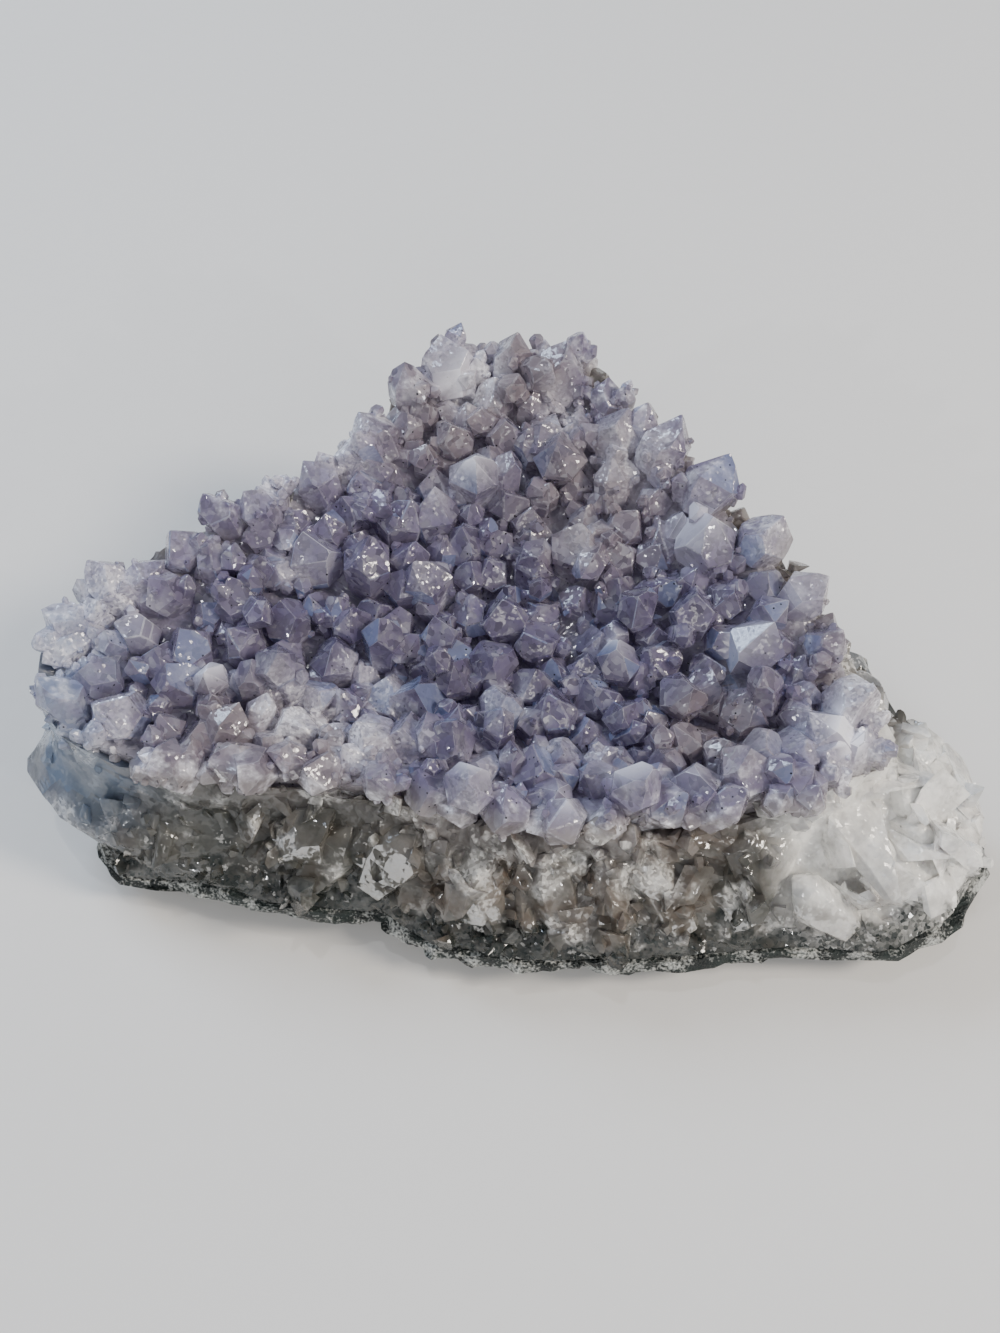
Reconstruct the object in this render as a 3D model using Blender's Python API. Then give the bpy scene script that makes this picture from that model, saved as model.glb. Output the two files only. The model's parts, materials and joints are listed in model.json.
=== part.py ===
"""Amethyst cluster: a hand-sized, triangular piece broken from the wall of a geode.

Three layers lie on each other, as they grew. A thin rind of dark basalt is what the piece rests on.
A bed of colourless and milky quartz stands on it, with broken columns on its outer sides.
A crust of pale amethyst points, grown together into one body, covers the hollowed top.

The origin is on the flat spot that the piece rests on, under the middle of its box. +X is the long
way, +Y points to the apex of the triangle and +Z is up. Lengths are in millimetres until the end.
"""

import math
import random

import bmesh
import bpy
from mathutils import Matrix, Vector, noise

MM = 0.001

# The stone seen from above, as (x, y) corners in order, anticlockwise from the right end.
# RIM is the edge of the crystal carpet, WAIST the broken side half way up, FOOT the edge of the rind.
RIM = [
    (40, -4), (36, 4), (31, 12), (26, 19), (19, 26), (14, 33), (9, 39), (-5, 41), (-12, 35),
    (-16, 27), (-23, 23), (-31, 17), (-39, 12), (-46, 7), (-50, 1), (-51, -6), (-47, -11),
    (-38, -14), (-24, -15), (-12, -16), (-3, -18), (8, -20), (20, -19), (32, -17), (42, -13),
]
WAIST = [
    (54, -9), (50, -1), (43, 7), (36, 15), (29, 22), (22, 29), (15, 36), (6, 41), (-6, 41),
    (-14, 34), (-19, 27), (-27, 22), (-37, 16), (-47, 10), (-54, 3), (-57.5, -5), (-56, -12),
    (-47, -18), (-30, -20), (-15, -22), (-5, -25), (8, -26), (24, -25), (38, -24), (50, -23),
    (57, -17),
]
FOOT = [
    (56, -6), (51, 3), (43, 10), (36, 17), (29, 24), (21, 31), (12, 37), (3, 39), (-8, 36),
    (-15, 30), (-20, 24), (-29, 18), (-39, 12), (-47, 5), (-52, -3), (-51, -12), (-46, -20),
    (-37, -21), (-28, -24), (-20, -25), (-14, -25), (-8, -29), (3, -31), (14, -31), (25, -30),
    (36, -29), (45, -30), (53, -26), (58.5, -19), (58, -12),
]

# Heights above the table.
HOLLOW = (4, -3)
HOLLOW_FLOOR = 18.0
HOLLOW_RISE = 8.0
APEX_LIFT = 0.2
WAIST_HEIGHT = 12.0
RIND_TOP = 6.2
RIND_SWELL = 1.8
FLAT_SHARE = 0.42
EDGE_LIFT = 2.2

# The layers. Closed meshes that lie on each other keep a gap.
LAYER_GAP = 0.3
CRUST_DEPTH = 4.0
SUNK = 1.0
BEARINGS = 48
TOP_RINGS = (0.35, 0.7, 1)
SEAM_RINGS = (0.55, 1)
UNDER_RINGS = (0.7, 0.35)
CRUST_TRIANGLES = 6700
BED_TRIANGLES = 2400
SLIVER = 0.003

# Crystals of the carpet: (x, y, half width, rise above the bed, lean in degrees, bearing of the lean).
LARGE_POINTS = [
    (-3, 23, 2.9, 8.0, 12, 260), (1, 6, 2.9, 6.0, 8, 200), (-33, -3, 1.9, 5.5, 14, 285),
    (-41, 2, 2.5, 4.5, 38, 185), (-22, 12, 3.6, 6.5, 12, 120), (-16, 11, 3.2, 7.0, 10, 40),
    (17, 7, 2.7, 6.0, 18, 240), (14, 1, 2.8, 6.5, 14, 250), (21, -4, 3.0, 6.0, 10, 300),
    (15, -6, 2.5, 5.5, 12, 230), (29, 0, 3.5, 6.5, 12, 20), (25, 13, 4.2, 6.5, 14, 200),
    (-14, 2, 2.6, 7.0, 6, 90), (-9, -4, 3.8, 6.0, 10, 250), (-23, -8, 2.9, 5.5, 16, 240),
    (-15, -9, 3.3, 6.0, 16, 280), (14, -16, 3.0, 8.5, 10, 265), (8, -19, 2.6, 5.5, 46, 215),
    (21, -16, 3.1, 6.0, 18, 285), (28, -7, 3.1, 5.0, 8, 100), (29, -12, 3.0, 6.5, 20, 240),
    (38, -7, 3.2, 6.5, 16, 330), (37, -13, 2.5, 5.0, 34, 200), (-3, -16, 2.7, 8.0, 12, 280),
    (1, -18, 2.9, 5.0, 30, 265), (-42, -8, 3.5, 5.0, 12, 200), (9, 14, 3.1, 6.5, 10, 75),
    (-8, 18, 3.3, 6.0, 10, 100), (-8, 10, 3.2, 6.5, 12, 190), (4, 12, 2.7, 6.0, 12, 70),
    (-6, 36, 3.6, 7.0, 20, 120), (1, 37, 3.0, 6.5, 14, 60), (7, 35, 3.4, 7.0, 18, 60),
    (8, 26, 3.1, 6.5, 18, 240), (14, 27, 3.3, 6.0, 20, 40), (19, 24, 3.4, 6.0, 22, 45),
    (24, 19, 3.5, 6.5, 22, 45), (30, 12, 3.2, 6.0, 24, 40), (34, 5, 2.9, 5.5, 24, 20),
    (-48, 2, 2.7, 5.0, 34, 165), (-44, 6, 2.9, 6.0, 28, 140), (-21, 20, 2.8, 5.5, 30, 130),
    (-14, 26, 2.9, 6.5, 30, 140), (7, -6, 3.0, 5.5, 14, 140), (0, -5, 3.1, 5.5, 12, 320),
    (-6, -11, 3.3, 6.0, 14, 30), (23, 5, 3.0, 6.0, 10, 180), (-31, 6, 3.3, 5.5, 14, 100),
    (-37, -4, 3.0, 5.0, 12, 60),
]

# Smaller points fill the carpet between the large ones.
FILL_SEED = 46
FILL_TRIES = 12000
FILL_HALF_WIDTHS = (2.1, 3.3)
FILL_SPACING = 0.66
FILL_RISE = (1.2, 1.9)
FILL_LEAN = 26
OUTWARD_LEAN = 20

# A row of points stands along the rim and leans outwards.
RIM_STEP = 5.4
RIM_HALF_WIDTHS = (2.4, 3.3)
RIM_RISE = (3.5, 6.0)
RIM_SHARE = 0.97

# Broken quartz columns on the sides of the bed.
COLUMN_SEED = 12
COLUMN_SPACING = 6.5
COLUMN_HALF_WIDTHS = (2.4, 4.2)
COLUMN_LENGTHS = (7, 14)
COLUMN_LEAN = 16
COLUMN_ROWS = (0.18, 0.48)
SMOOTH_END = (158, 212)

# A quartz tip: its faces stand this steeply, and every second one is larger.
TIP_SLOPE = 51.8
PRISM_SIDES = 6

AMETHYST = (0.42, 0.36, 0.52)
QUARTZ = (0.62, 0.61, 0.60)
BASALT = (0.045, 0.06, 0.055)


def crossing(outline, direction):
    """How far out a ray from the axis meets an outline."""
    for start, end in zip(outline, outline[1:] + outline[:1]):
        a = Vector(start)
        side = Vector(end) - a
        spread = direction.x * side.y - direction.y * side.x
        if abs(spread) < 1e-9:
            continue
        out = (a.x * side.y - a.y * side.x) / spread
        along = (a.x * direction.y - a.y * direction.x) / spread
        if out > 0 and -1e-6 <= along <= 1 + 1e-6:
            return out
    raise ValueError("the outline doesn't go round the axis")


def reach(outline, bearing):
    """An outline's distance from the axis at a bearing in degrees."""
    turn = math.radians(bearing)
    return crossing(outline, Vector((math.cos(turn), math.sin(turn))))


def rough(x, y, z, size, seed):
    """Smooth noise from -1 to 1 whose lumps are about one size across."""
    return noise.noise(Vector((x / size + seed, y / size, z / size)))


def share_of_rim(x, y):
    """0 at the lowest point of the hollow, 1 on the rim."""
    offset = Vector((x, y)) - Vector(HOLLOW)
    if offset.length < 1e-6:
        return 0
    moved = [(a - HOLLOW[0], b - HOLLOW[1]) for a, b in RIM]
    return offset.length / crossing(moved, offset.normalized())


def hollow(x, y):
    """The hollow that climbs to the rim, and most at the apex."""
    return HOLLOW_FLOOR + HOLLOW_RISE * share_of_rim(x, y) ** 1.7 + APEX_LIFT * y


def bed_height(x, y):
    """Top of the crust that the points stand on: the hollow with lumps."""
    return hollow(x, y) + 1.2 * rough(x, y, 0, 13, 3) + 0.4 * rough(x, y, 0, 6, 9)


def seam_height(x, y):
    """Top of the quartz bed, under the amethyst."""
    return hollow(x, y) - CRUST_DEPTH - LAYER_GAP


def crust_underside(x, y):
    """Underside of the amethyst, a gap above the bed."""
    return hollow(x, y) - CRUST_DEPTH


def rind_height(x, y):
    """The uneven surface where quartz grew on basalt."""
    return RIND_TOP + RIND_SWELL * rough(x, y, 0, 15, 21) + 0.5 * rough(x, y, 0, 5, 2)


def polar_solid(name, rings):
    """A closed mesh from rings of points around the axis, its first and last rings closed by a centre.

    Each ring is a function of the bearing in degrees that gives a point. The diagonals always lead
    from an inner ring to the next bearing of an outer one, so that stacked layers stay parallel.
    """
    mesh = bmesh.new()
    bearings = [360 * step / BEARINGS for step in range(BEARINGS)]
    made = [[mesh.verts.new(ring(bearing)) for bearing in bearings] for ring in rings]
    for first, second in zip(made, made[1:]):
        growing = girth(first) < girth(second)
        inner, outer = (first, second) if growing else (second, first)
        for i in range(BEARINGS):
            j = (i + 1) % BEARINGS
            mesh.faces.new((inner[i], outer[i], outer[j]))
            mesh.faces.new((inner[i], outer[j], inner[j]))
    for ring, order in ((made[0], 1), (made[-1], -1)):
        middle = sum((vert.co for vert in ring), Vector()) / BEARINGS
        centre = mesh.verts.new(middle)
        for i in range(BEARINGS):
            corners = (ring[i], ring[(i + 1) % BEARINGS], centre)
            mesh.faces.new(corners[::order])
    bmesh.ops.recalc_face_normals(mesh, faces=mesh.faces)
    return object_of(name, mesh)


def girth(ring):
    """The sum of a ring's distances from the axis."""
    return sum(vert.co.xy.length for vert in ring)


def object_of(name, mesh):
    """Turns a working mesh in millimetres into an object in metres."""
    mesh.transform(Matrix.Scale(MM, 4))
    data = bpy.data.meshes.new(name)
    mesh.to_mesh(data)
    mesh.free()
    made = bpy.data.objects.new(name, data)
    bpy.context.scene.collection.objects.link(made)
    return made


def disc(outline, share, height):
    """A ring at a share of an outline's reach, at the height that a function gives."""

    def point(bearing):
        turn = math.radians(bearing)
        out = share * reach(outline, bearing)
        x, y = out * math.cos(turn), out * math.sin(turn)
        return Vector((x, y, height(x, y)))

    return point


def wall(share, roughness):
    """A ring on the broken side: share is 0 on the rind, 1 on the rim of the bed."""

    def point(bearing):
        turn = math.radians(bearing)
        ray = Vector((math.cos(turn), math.sin(turn)))
        foot, waist, rim = (reach(o, bearing) for o in (FOOT, WAIST, RIM))
        low = rind_height(*(ray * foot)) + LAYER_GAP
        high = seam_height(*(ray * rim))
        z = low + share * (high - low)
        if z < WAIST_HEIGHT:
            out = foot + (waist - foot) * (z - low) / max(WAIST_HEIGHT - low, 0.1)
        else:
            out = waist + (rim - waist) * (z - WAIST_HEIGHT) / max(high - WAIST_HEIGHT, 0.1)
        calm = 0.35 if SMOOTH_END[0] < bearing < SMOOTH_END[1] else 1
        x, y = ray * out
        out += calm * roughness * rough(x, y, z, 4.5, 31)
        return Vector((*(ray * out), z))

    return point


def crystal(half_width, length, seed, root=1.0):
    """A quartz point along +Z from its root at the origin, with uneven sides and tip faces."""
    shape = random.Random(seed)
    mesh = bmesh.new()
    bmesh.ops.create_cone(
        mesh, cap_ends=True, segments=PRISM_SIDES, radius1=root * half_width * 1.6,
        radius2=half_width * 1.6, depth=length + 2,
    )
    bmesh.ops.translate(mesh, verts=mesh.verts, vec=(0, 0, (length + 2) / 2))
    tilt = math.radians(TIP_SLOPE)
    for side in range(PRISM_SIDES):
        turn = 2 * math.pi * side / PRISM_SIDES
        out = Vector((math.cos(turn), math.sin(turn), 0))
        flat = half_width * shape.uniform(0.82, 1.1)
        trim(mesh, out * flat, out)
        facing = out * math.sin(tilt) + Vector((0, 0, math.cos(tilt)))
        uneven = shape.uniform(0, 0.22) + 0.1 * (side % 2)
        trim(mesh, Vector((0, 0, length + uneven * half_width)), facing)
    return mesh


def trim(mesh, point, facing):
    """Cuts a convex mesh with a plane and closes the cut."""
    geometry = mesh.verts[:] + mesh.edges[:] + mesh.faces[:]
    cut = bmesh.ops.bisect_plane(
        mesh, geom=geometry, plane_co=point, plane_no=facing, clear_outer=True, dist=1e-5
    )
    edges = [item for item in cut["geom_cut"] if isinstance(item, bmesh.types.BMEdge)]
    if edges:
        bmesh.ops.edgenet_fill(mesh, edges=edges)


def placed(place, axis, twist):
    """The matrix that stands a crystal on a place along an axis."""
    turn = Vector((0, 0, 1)).rotation_difference(axis.normalized()).to_matrix().to_4x4()
    return Matrix.Translation(place) @ turn @ Matrix.Rotation(twist, 4, "Z")


def joined(name, meshes):
    """One hidden helper object that holds many closed shapes."""
    whole = bmesh.new()
    for mesh in meshes:
        part = bpy.data.meshes.new("part")
        mesh.to_mesh(part)
        mesh.free()
        whole.from_mesh(part)
        bpy.data.meshes.remove(part)
    bmesh.ops.recalc_face_normals(whole, faces=whole.faces)
    helper = object_of(name, whole)
    helper.hide_render = True
    helper.display_type = "WIRE"
    return helper


def boolean(base, helper, operation):
    """Cuts a helper from a solid, or joins them, and keeps the result as plain mesh."""
    step = base.modifiers.new("with " + helper.name, "BOOLEAN")
    step.operation = operation
    step.object = helper
    step.solver = "EXACT"
    step.use_self = True
    bpy.context.view_layer.update()
    graph = bpy.context.evaluated_depsgraph_get()
    made = bpy.data.meshes.new_from_object(base.evaluated_get(graph))
    base.modifiers.clear()
    base.data = made
    return made


def grow_onto(base, helper, triangles):
    """Joins the helper's shapes with a base solid into one body, with no hollow sealed inside it.

    Slivers from the cuts are then collapsed, down to about the number of triangles given.
    """
    grown = boolean(base, helper, "UNION")
    mesh = bmesh.new()
    mesh.from_mesh(grown)
    shells = shells_of(mesh)
    inner = [vert for shell in sorted(shells, key=len)[:-1] for vert in shell]
    bmesh.ops.delete(mesh, geom=inner, context="VERTS")
    bmesh.ops.remove_doubles(mesh, verts=mesh.verts, dist=SLIVER * MM)
    bmesh.ops.dissolve_degenerate(mesh, edges=mesh.edges, dist=SLIVER * MM)
    bmesh.ops.triangulate(mesh, faces=mesh.faces)
    made = len(mesh.faces)
    mesh.to_mesh(grown)
    mesh.free()
    thinned = base.modifiers.new("without slivers", "DECIMATE")
    thinned.ratio = min(1, triangles / made)


def shells_of(mesh):
    """The vertices of each closed surface in a mesh."""
    left = set(mesh.verts)
    shells = []
    while left:
        reached = {left.pop()}
        shell = set(reached)
        while reached:
            near = {edge.other_vert(vert) for vert in reached for edge in vert.link_edges}
            reached = near - shell
            shell |= reached
        left -= shell
        shells.append(shell)
    return shells


def leaning(x, y, lean, bearing):
    """A direction that leans from upright, and outwards near the rim."""
    side = Vector((math.cos(math.radians(bearing)), math.sin(math.radians(bearing)), 0))
    lifted = Vector((0, 0, 1)) + side * math.tan(math.radians(lean))
    outward = Vector((x, y, 0)).normalized() * share_of_rim(x, y) ** 3
    return lifted + outward * math.tan(math.radians(OUTWARD_LEAN))


def rim_points(draw):
    """Points along the rim, where no large one stands already."""
    points = []
    bearing = 0.0
    while bearing < 357:
        turn, out = math.radians(bearing), RIM_SHARE * reach(RIM, bearing)
        bearing += math.degrees(RIM_STEP * draw.uniform(0.8, 1.2) / out)
        x, y, half = out * math.cos(turn), out * math.sin(turn), draw.uniform(*RIM_HALF_WIDTHS)
        if all(math.hypot(x - a, y - b) > 0.8 * (half + c) for a, b, c, *_ in LARGE_POINTS):
            lean, aside = draw.uniform(0, 18), math.degrees(turn) + draw.uniform(-70, 70)
            points.append((x, y, half, draw.uniform(*RIM_RISE), lean, aside))
    return points


def all_points():
    """The large points, those on the rim and the small ones between, none too near another."""
    draw = random.Random(FILL_SEED)
    points = LARGE_POINTS + rim_points(draw)
    taken = [(x, y, half) for x, y, half, *_ in points]
    for _ in range(FILL_TRIES):
        x, y = draw.uniform(-54, 44), draw.uniform(-21, 39)
        half = draw.uniform(*FILL_HALF_WIDTHS)
        if share_of_rim(x, y) > 0.95:
            continue
        clear = all(
            math.hypot(x - a, y - b) > FILL_SPACING * (half + other) for a, b, other in taken
        )
        if clear:
            taken.append((x, y, half))
            rise = half * draw.uniform(*FILL_RISE)
            points.append((x, y, half, rise, draw.uniform(0, FILL_LEAN), draw.uniform(0, 360)))
    return points


def amethyst_crust():
    """The carpet of points and the thin crust that they share."""

    rings = [disc(RIM, share, bed_height) for share in TOP_RINGS]
    rings += [disc(RIM, share, crust_underside) for share in reversed(SEAM_RINGS)]
    crust = polar_solid("amethyst_crystals", rings)
    shapes = []
    for seed, (x, y, half, rise, lean, bearing) in enumerate(all_points()):
        mesh = crystal(half, rise + SUNK, seed, root=0.5)
        found, place, *_ = crust.ray_cast(Vector((x, y, 100)) * MM, Vector((0, 0, -1)))
        if not found:
            raise ValueError("a crystal stands off the crust")
        place = place / MM - Vector((0, 0, SUNK))
        mesh.transform(placed(place, leaning(x, y, lean, bearing), math.radians(seed * 37)))
        shapes.append(mesh)
    grow_onto(crust, joined("points_before_joining", shapes), CRUST_TRIANGLES)
    return crust


def quartz_bed():
    """The colourless and milky quartz between the basalt and the amethyst."""

    def under(x, y):
        return rind_height(x, y) + LAYER_GAP

    rings = [disc(RIM, share, seam_height) for share in SEAM_RINGS[:-1]]
    rings += [wall(share, 2.2 * (share not in (0, 1))) for share in (1, 0.74, 0.45, 0.18, 0)]
    rings += [disc(FOOT, share, under) for share in UNDER_RINGS]
    bed = polar_solid("quartz_bed", rings)
    draw = random.Random(COLUMN_SEED)
    shapes = [column(draw, bearing, rise) for rise in COLUMN_ROWS for bearing in bearings_of(draw)]
    columns = joined("columns_before_joining", shapes)
    boolean(columns, room_for_crust(), "DIFFERENCE")
    grow_onto(bed, columns, BED_TRIANGLES)
    return bed


def bearings_of(draw):
    """Where the columns of one row stand round the bed, away from its smooth end."""
    bearing, found = draw.uniform(0, 8), []
    while bearing < 358:
        if not SMOOTH_END[0] < bearing < SMOOTH_END[1]:
            found.append(bearing)
        bearing += math.degrees(COLUMN_SPACING / reach(WAIST, bearing)) * draw.uniform(0.7, 1.3)
    return found


def column(draw, bearing, rise):
    """A broken column, half sunk in the side of the bed, with its root at a share of the height."""
    half = draw.uniform(*COLUMN_HALF_WIDTHS)
    low, high = wall(rise * draw.uniform(0.85, 1.25), 0)(bearing), wall(0.92, 0)(bearing)
    length = min(draw.uniform(*COLUMN_LENGTHS), 0.95 * (high - low).length)
    turn = math.radians(bearing)
    side = Vector((-math.sin(turn), math.cos(turn), 0))
    out = Vector((math.cos(turn), math.sin(turn), 0))
    lean = side * draw.uniform(-1, 1) + out * draw.uniform(-0.3, 1)
    axis = (high - low).normalized() + lean * math.tan(math.radians(COLUMN_LEAN))
    mesh = crystal(half, length, int(bearing * 10), root=0.5)
    mesh.transform(placed(low - out * 0.55 * half, axis, draw.uniform(0, 6)))
    return mesh


def room_for_crust():
    """A hidden cutter that fills the crust's place, and all above it."""

    lifted = disc(RIM, 1.03, lambda x, y: 60)
    lowered = [disc(RIM, share, seam_height) for share in (1.03, *reversed(SEAM_RINGS[:-1]))]
    cutter = polar_solid("room_for_crust", [lifted, *lowered])
    cutter.hide_render = True
    cutter.display_type = "WIRE"
    return cutter


def basalt_rind():
    """The thin, dark, pitted rind, with the flat spot that the piece rests on."""

    def under(x, y):
        out = math.hypot(x, y) / reach(FOOT, math.degrees(math.atan2(y, x)))
        if out < FLAT_SHARE + 0.01:
            return 0
        rise = (out - FLAT_SHARE) / (1 - FLAT_SHARE)
        pits = 1.5 * rise * rough(x, y, 0, 9, 5) + 0.8 * rough(x, y, 0, 5, 13)
        return max(0.15, EDGE_LIFT * rise**1.5 + pits + 0.5)

    def edge(x, y):
        return 0.45 * under(x, y) + 0.55 * rind_height(x, y)

    def swollen(x, y):
        return 1 + 0.02 * rough(x, y, 0, 6, 17)

    def bulge(bearing):
        point = disc(FOOT, 1.02, edge)(bearing)
        grow = swollen(point.x, point.y)
        return Vector((point.x * grow, point.y * grow, point.z))

    rings = [disc(FOOT, share, rind_height) for share in (*reversed(UNDER_RINGS), 1)]
    rings += [bulge]
    rings += [disc(FOOT, share, under) for share in (0.96, 0.84, 0.7, 0.56, FLAT_SHARE)]
    return polar_solid("basalt_rind", rings)


def finish(target, name, colour, roughness, see_through=0.0):
    """Gives an object its own material."""
    material = bpy.data.materials.new(name)
    material.use_nodes = True
    shader = material.node_tree.nodes["Principled BSDF"]
    shader.inputs["Base Color"].default_value = (*colour, 1)
    shader.inputs["Roughness"].default_value = roughness
    shader.inputs["Metallic"].default_value = 0
    shader.inputs["Transmission Weight"].default_value = see_through
    material.diffuse_color = (*colour, 1)
    target.data.materials.clear()
    target.data.materials.append(material)


def centred(parts):
    """Hangs the parts on one empty and moves it so that the box's middle is over the origin."""
    bpy.context.view_layer.update()
    graph = bpy.context.evaluated_depsgraph_get()
    corners = [Vector(c) for part in parts for c in part.evaluated_get(graph).bound_box]
    centre = [(min(c[i] for c in corners) + max(c[i] for c in corners)) / 2 for i in (0, 1)]
    cluster = bpy.data.objects.new("amethyst_cluster", None)
    bpy.context.scene.collection.objects.link(cluster)
    for child in list(bpy.context.scene.objects):
        if child is not cluster:
            child.parent = cluster
    cluster.location = (-centre[0], -centre[1], 0)


def build():
    for old in list(bpy.data.objects):
        bpy.data.objects.remove(old)
    rind = basalt_rind()
    bed = quartz_bed()
    crust = amethyst_crust()
    finish(rind, "dark basalt", BASALT, 0.85)
    finish(bed, "milky quartz", QUARTZ, 0.35, 0.3)
    finish(crust, "pale amethyst", AMETHYST, 0.12, 0.7)
    centred([rind, bed, crust])


build()
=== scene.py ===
"""An amethyst cluster lying on a pale floor: a carpet of lilac points, quartz and a basalt rind.

The shapes are worked out in millimetres, in a frame whose axis goes through the hollow of the
piece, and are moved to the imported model's frame when they become meshes.
"""

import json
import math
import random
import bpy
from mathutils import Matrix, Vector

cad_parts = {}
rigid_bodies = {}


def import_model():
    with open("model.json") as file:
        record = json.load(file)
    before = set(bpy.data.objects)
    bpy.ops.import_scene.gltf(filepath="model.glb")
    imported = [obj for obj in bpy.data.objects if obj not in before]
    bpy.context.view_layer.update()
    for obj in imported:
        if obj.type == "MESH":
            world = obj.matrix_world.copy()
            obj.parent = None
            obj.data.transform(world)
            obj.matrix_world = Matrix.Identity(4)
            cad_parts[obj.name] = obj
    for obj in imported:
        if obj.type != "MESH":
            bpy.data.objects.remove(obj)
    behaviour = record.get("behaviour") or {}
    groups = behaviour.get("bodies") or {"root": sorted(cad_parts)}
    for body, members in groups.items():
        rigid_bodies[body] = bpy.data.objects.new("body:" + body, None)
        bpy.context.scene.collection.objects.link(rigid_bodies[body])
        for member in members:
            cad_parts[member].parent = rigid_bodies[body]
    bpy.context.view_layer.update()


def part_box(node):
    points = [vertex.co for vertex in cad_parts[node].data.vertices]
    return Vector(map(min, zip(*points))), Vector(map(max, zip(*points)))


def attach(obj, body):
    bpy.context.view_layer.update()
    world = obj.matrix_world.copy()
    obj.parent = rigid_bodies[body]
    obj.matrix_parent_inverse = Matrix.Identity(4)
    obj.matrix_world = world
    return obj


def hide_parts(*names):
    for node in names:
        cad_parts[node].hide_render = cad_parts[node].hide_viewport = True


bl_info = {
    "name": "Amethyst cluster",
    "version": (1, 0, 0),
    "blender": (4, 5, 0),
    "location": "3D View > Sidebar > Amethyst",
    "description": "Grows an amethyst cluster on quartz and basalt, and sets it on a pale floor",
    "category": "Add Mesh",
}

import bmesh
import bpy
from bpy.props import FloatProperty, FloatVectorProperty, IntProperty, PointerProperty
from mathutils import Matrix, Vector, kdtree, noise

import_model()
MM = 0.001

# The stone seen from above, as (x, y) corners in order, anticlockwise from the right end.
# RIM is the edge of the crystal carpet, WAIST the broken side half way up, FOOT the rind's edge.
RIM = [
    (40, -4), (36, 4), (31, 12), (26, 19), (19, 26), (14, 33), (9, 39), (-5, 41), (-12, 35),
    (-16, 27), (-23, 23), (-31, 17), (-39, 12), (-46, 7), (-50, 1), (-51, -6), (-47, -11),
    (-38, -14), (-24, -15), (-12, -16), (-3, -18), (8, -20), (20, -19), (32, -17), (42, -13),
]
WAIST = [
    (54, -9), (50, -1), (43, 7), (36, 15), (29, 22), (22, 29), (15, 36), (6, 41), (-6, 41),
    (-14, 34), (-19, 27), (-27, 22), (-37, 16), (-47, 10), (-54, 3), (-57.5, -5), (-56, -12),
    (-47, -18), (-30, -20), (-15, -22), (-5, -25), (8, -26), (24, -25), (38, -24), (50, -23),
    (57, -17),
]
FOOT = [
    (56, -6), (51, 3), (43, 10), (36, 17), (29, 24), (21, 31), (12, 37), (3, 39), (-8, 36),
    (-15, 30), (-20, 24), (-29, 18), (-39, 12), (-47, 5), (-52, -3), (-51, -12), (-46, -20),
    (-37, -21), (-28, -24), (-20, -25), (-14, -25), (-8, -29), (3, -31), (14, -31), (25, -30),
    (36, -29), (45, -30), (53, -26), (58.5, -19), (58, -12),
]
HOLLOW = (4, -3)
HOLLOW_FLOOR, HOLLOW_RISE, APEX_LIFT = 18.0, 8.0, 0.2
WAIST_HEIGHT, RIND_TOP, RIND_SWELL, FLAT_SHARE, EDGE_LIFT = 12.0, 6.2, 1.8, 0.42, 2.2
LAYER_GAP, CRUST_DEPTH, SUNK = 0.3, 4.0, 1.0
TOP_RINGS, SEAM_RINGS, UNDER_RINGS = (0.35, 0.7, 1), (0.55, 1), (0.7, 0.35)
COARSE = 48
TIP_SLOPE = math.radians(51.8)

# Crystals of the carpet: (x, y, half width, rise above the bed, lean in degrees, bearing).
LARGE_POINTS = [
    (-3, 23, 2.9, 8.0, 12, 260), (1, 6, 2.9, 6.0, 8, 200), (-33, -3, 1.9, 5.5, 14, 285),
    (-41, 2, 2.5, 4.5, 38, 185), (-22, 12, 3.6, 6.5, 12, 120), (-16, 11, 3.2, 7.0, 10, 40),
    (17, 7, 2.7, 6.0, 18, 240), (14, 1, 2.8, 6.5, 14, 250), (21, -4, 3.0, 6.0, 10, 300),
    (15, -6, 2.5, 5.5, 12, 230), (29, 0, 3.5, 6.5, 12, 20), (25, 13, 4.2, 6.5, 14, 200),
    (-14, 2, 2.6, 7.0, 6, 90), (-9, -4, 3.8, 6.0, 10, 250), (-23, -8, 2.9, 5.5, 16, 240),
    (-15, -9, 3.3, 6.0, 16, 280), (14, -16, 3.0, 8.5, 10, 265), (8, -19, 2.6, 5.5, 46, 215),
    (21, -16, 3.1, 6.0, 18, 285), (28, -7, 3.1, 5.0, 8, 100), (29, -12, 3.0, 6.5, 20, 240),
    (38, -7, 3.2, 6.5, 16, 330), (37, -13, 2.5, 5.0, 34, 200), (-3, -16, 2.7, 8.0, 12, 280),
    (1, -18, 2.9, 5.0, 30, 265), (-42, -8, 3.5, 5.0, 12, 200), (9, 14, 3.1, 6.5, 10, 75),
    (-8, 18, 3.3, 6.0, 10, 100), (-8, 10, 3.2, 6.5, 12, 190), (4, 12, 2.7, 6.0, 12, 70),
    (-6, 36, 3.6, 7.0, 20, 120), (1, 37, 3.0, 6.5, 14, 60), (7, 35, 3.4, 7.0, 18, 60),
    (8, 26, 3.1, 6.5, 18, 240), (14, 27, 3.3, 6.0, 20, 40), (19, 24, 3.4, 6.0, 22, 45),
    (24, 19, 3.5, 6.5, 22, 45), (30, 12, 3.2, 6.0, 24, 40), (34, 5, 2.9, 5.5, 24, 20),
    (-48, 2, 2.7, 5.0, 34, 165), (-44, 6, 2.9, 6.0, 28, 140), (-21, 20, 2.8, 5.5, 30, 130),
    (-14, 26, 2.9, 6.5, 30, 140), (7, -6, 3.0, 5.5, 14, 140), (0, -5, 3.1, 5.5, 12, 320),
    (-6, -11, 3.3, 6.0, 14, 30), (23, 5, 3.0, 6.0, 10, 180), (-31, 6, 3.3, 5.5, 14, 100),
    (-37, -4, 3.0, 5.0, 12, 60),
]
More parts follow.
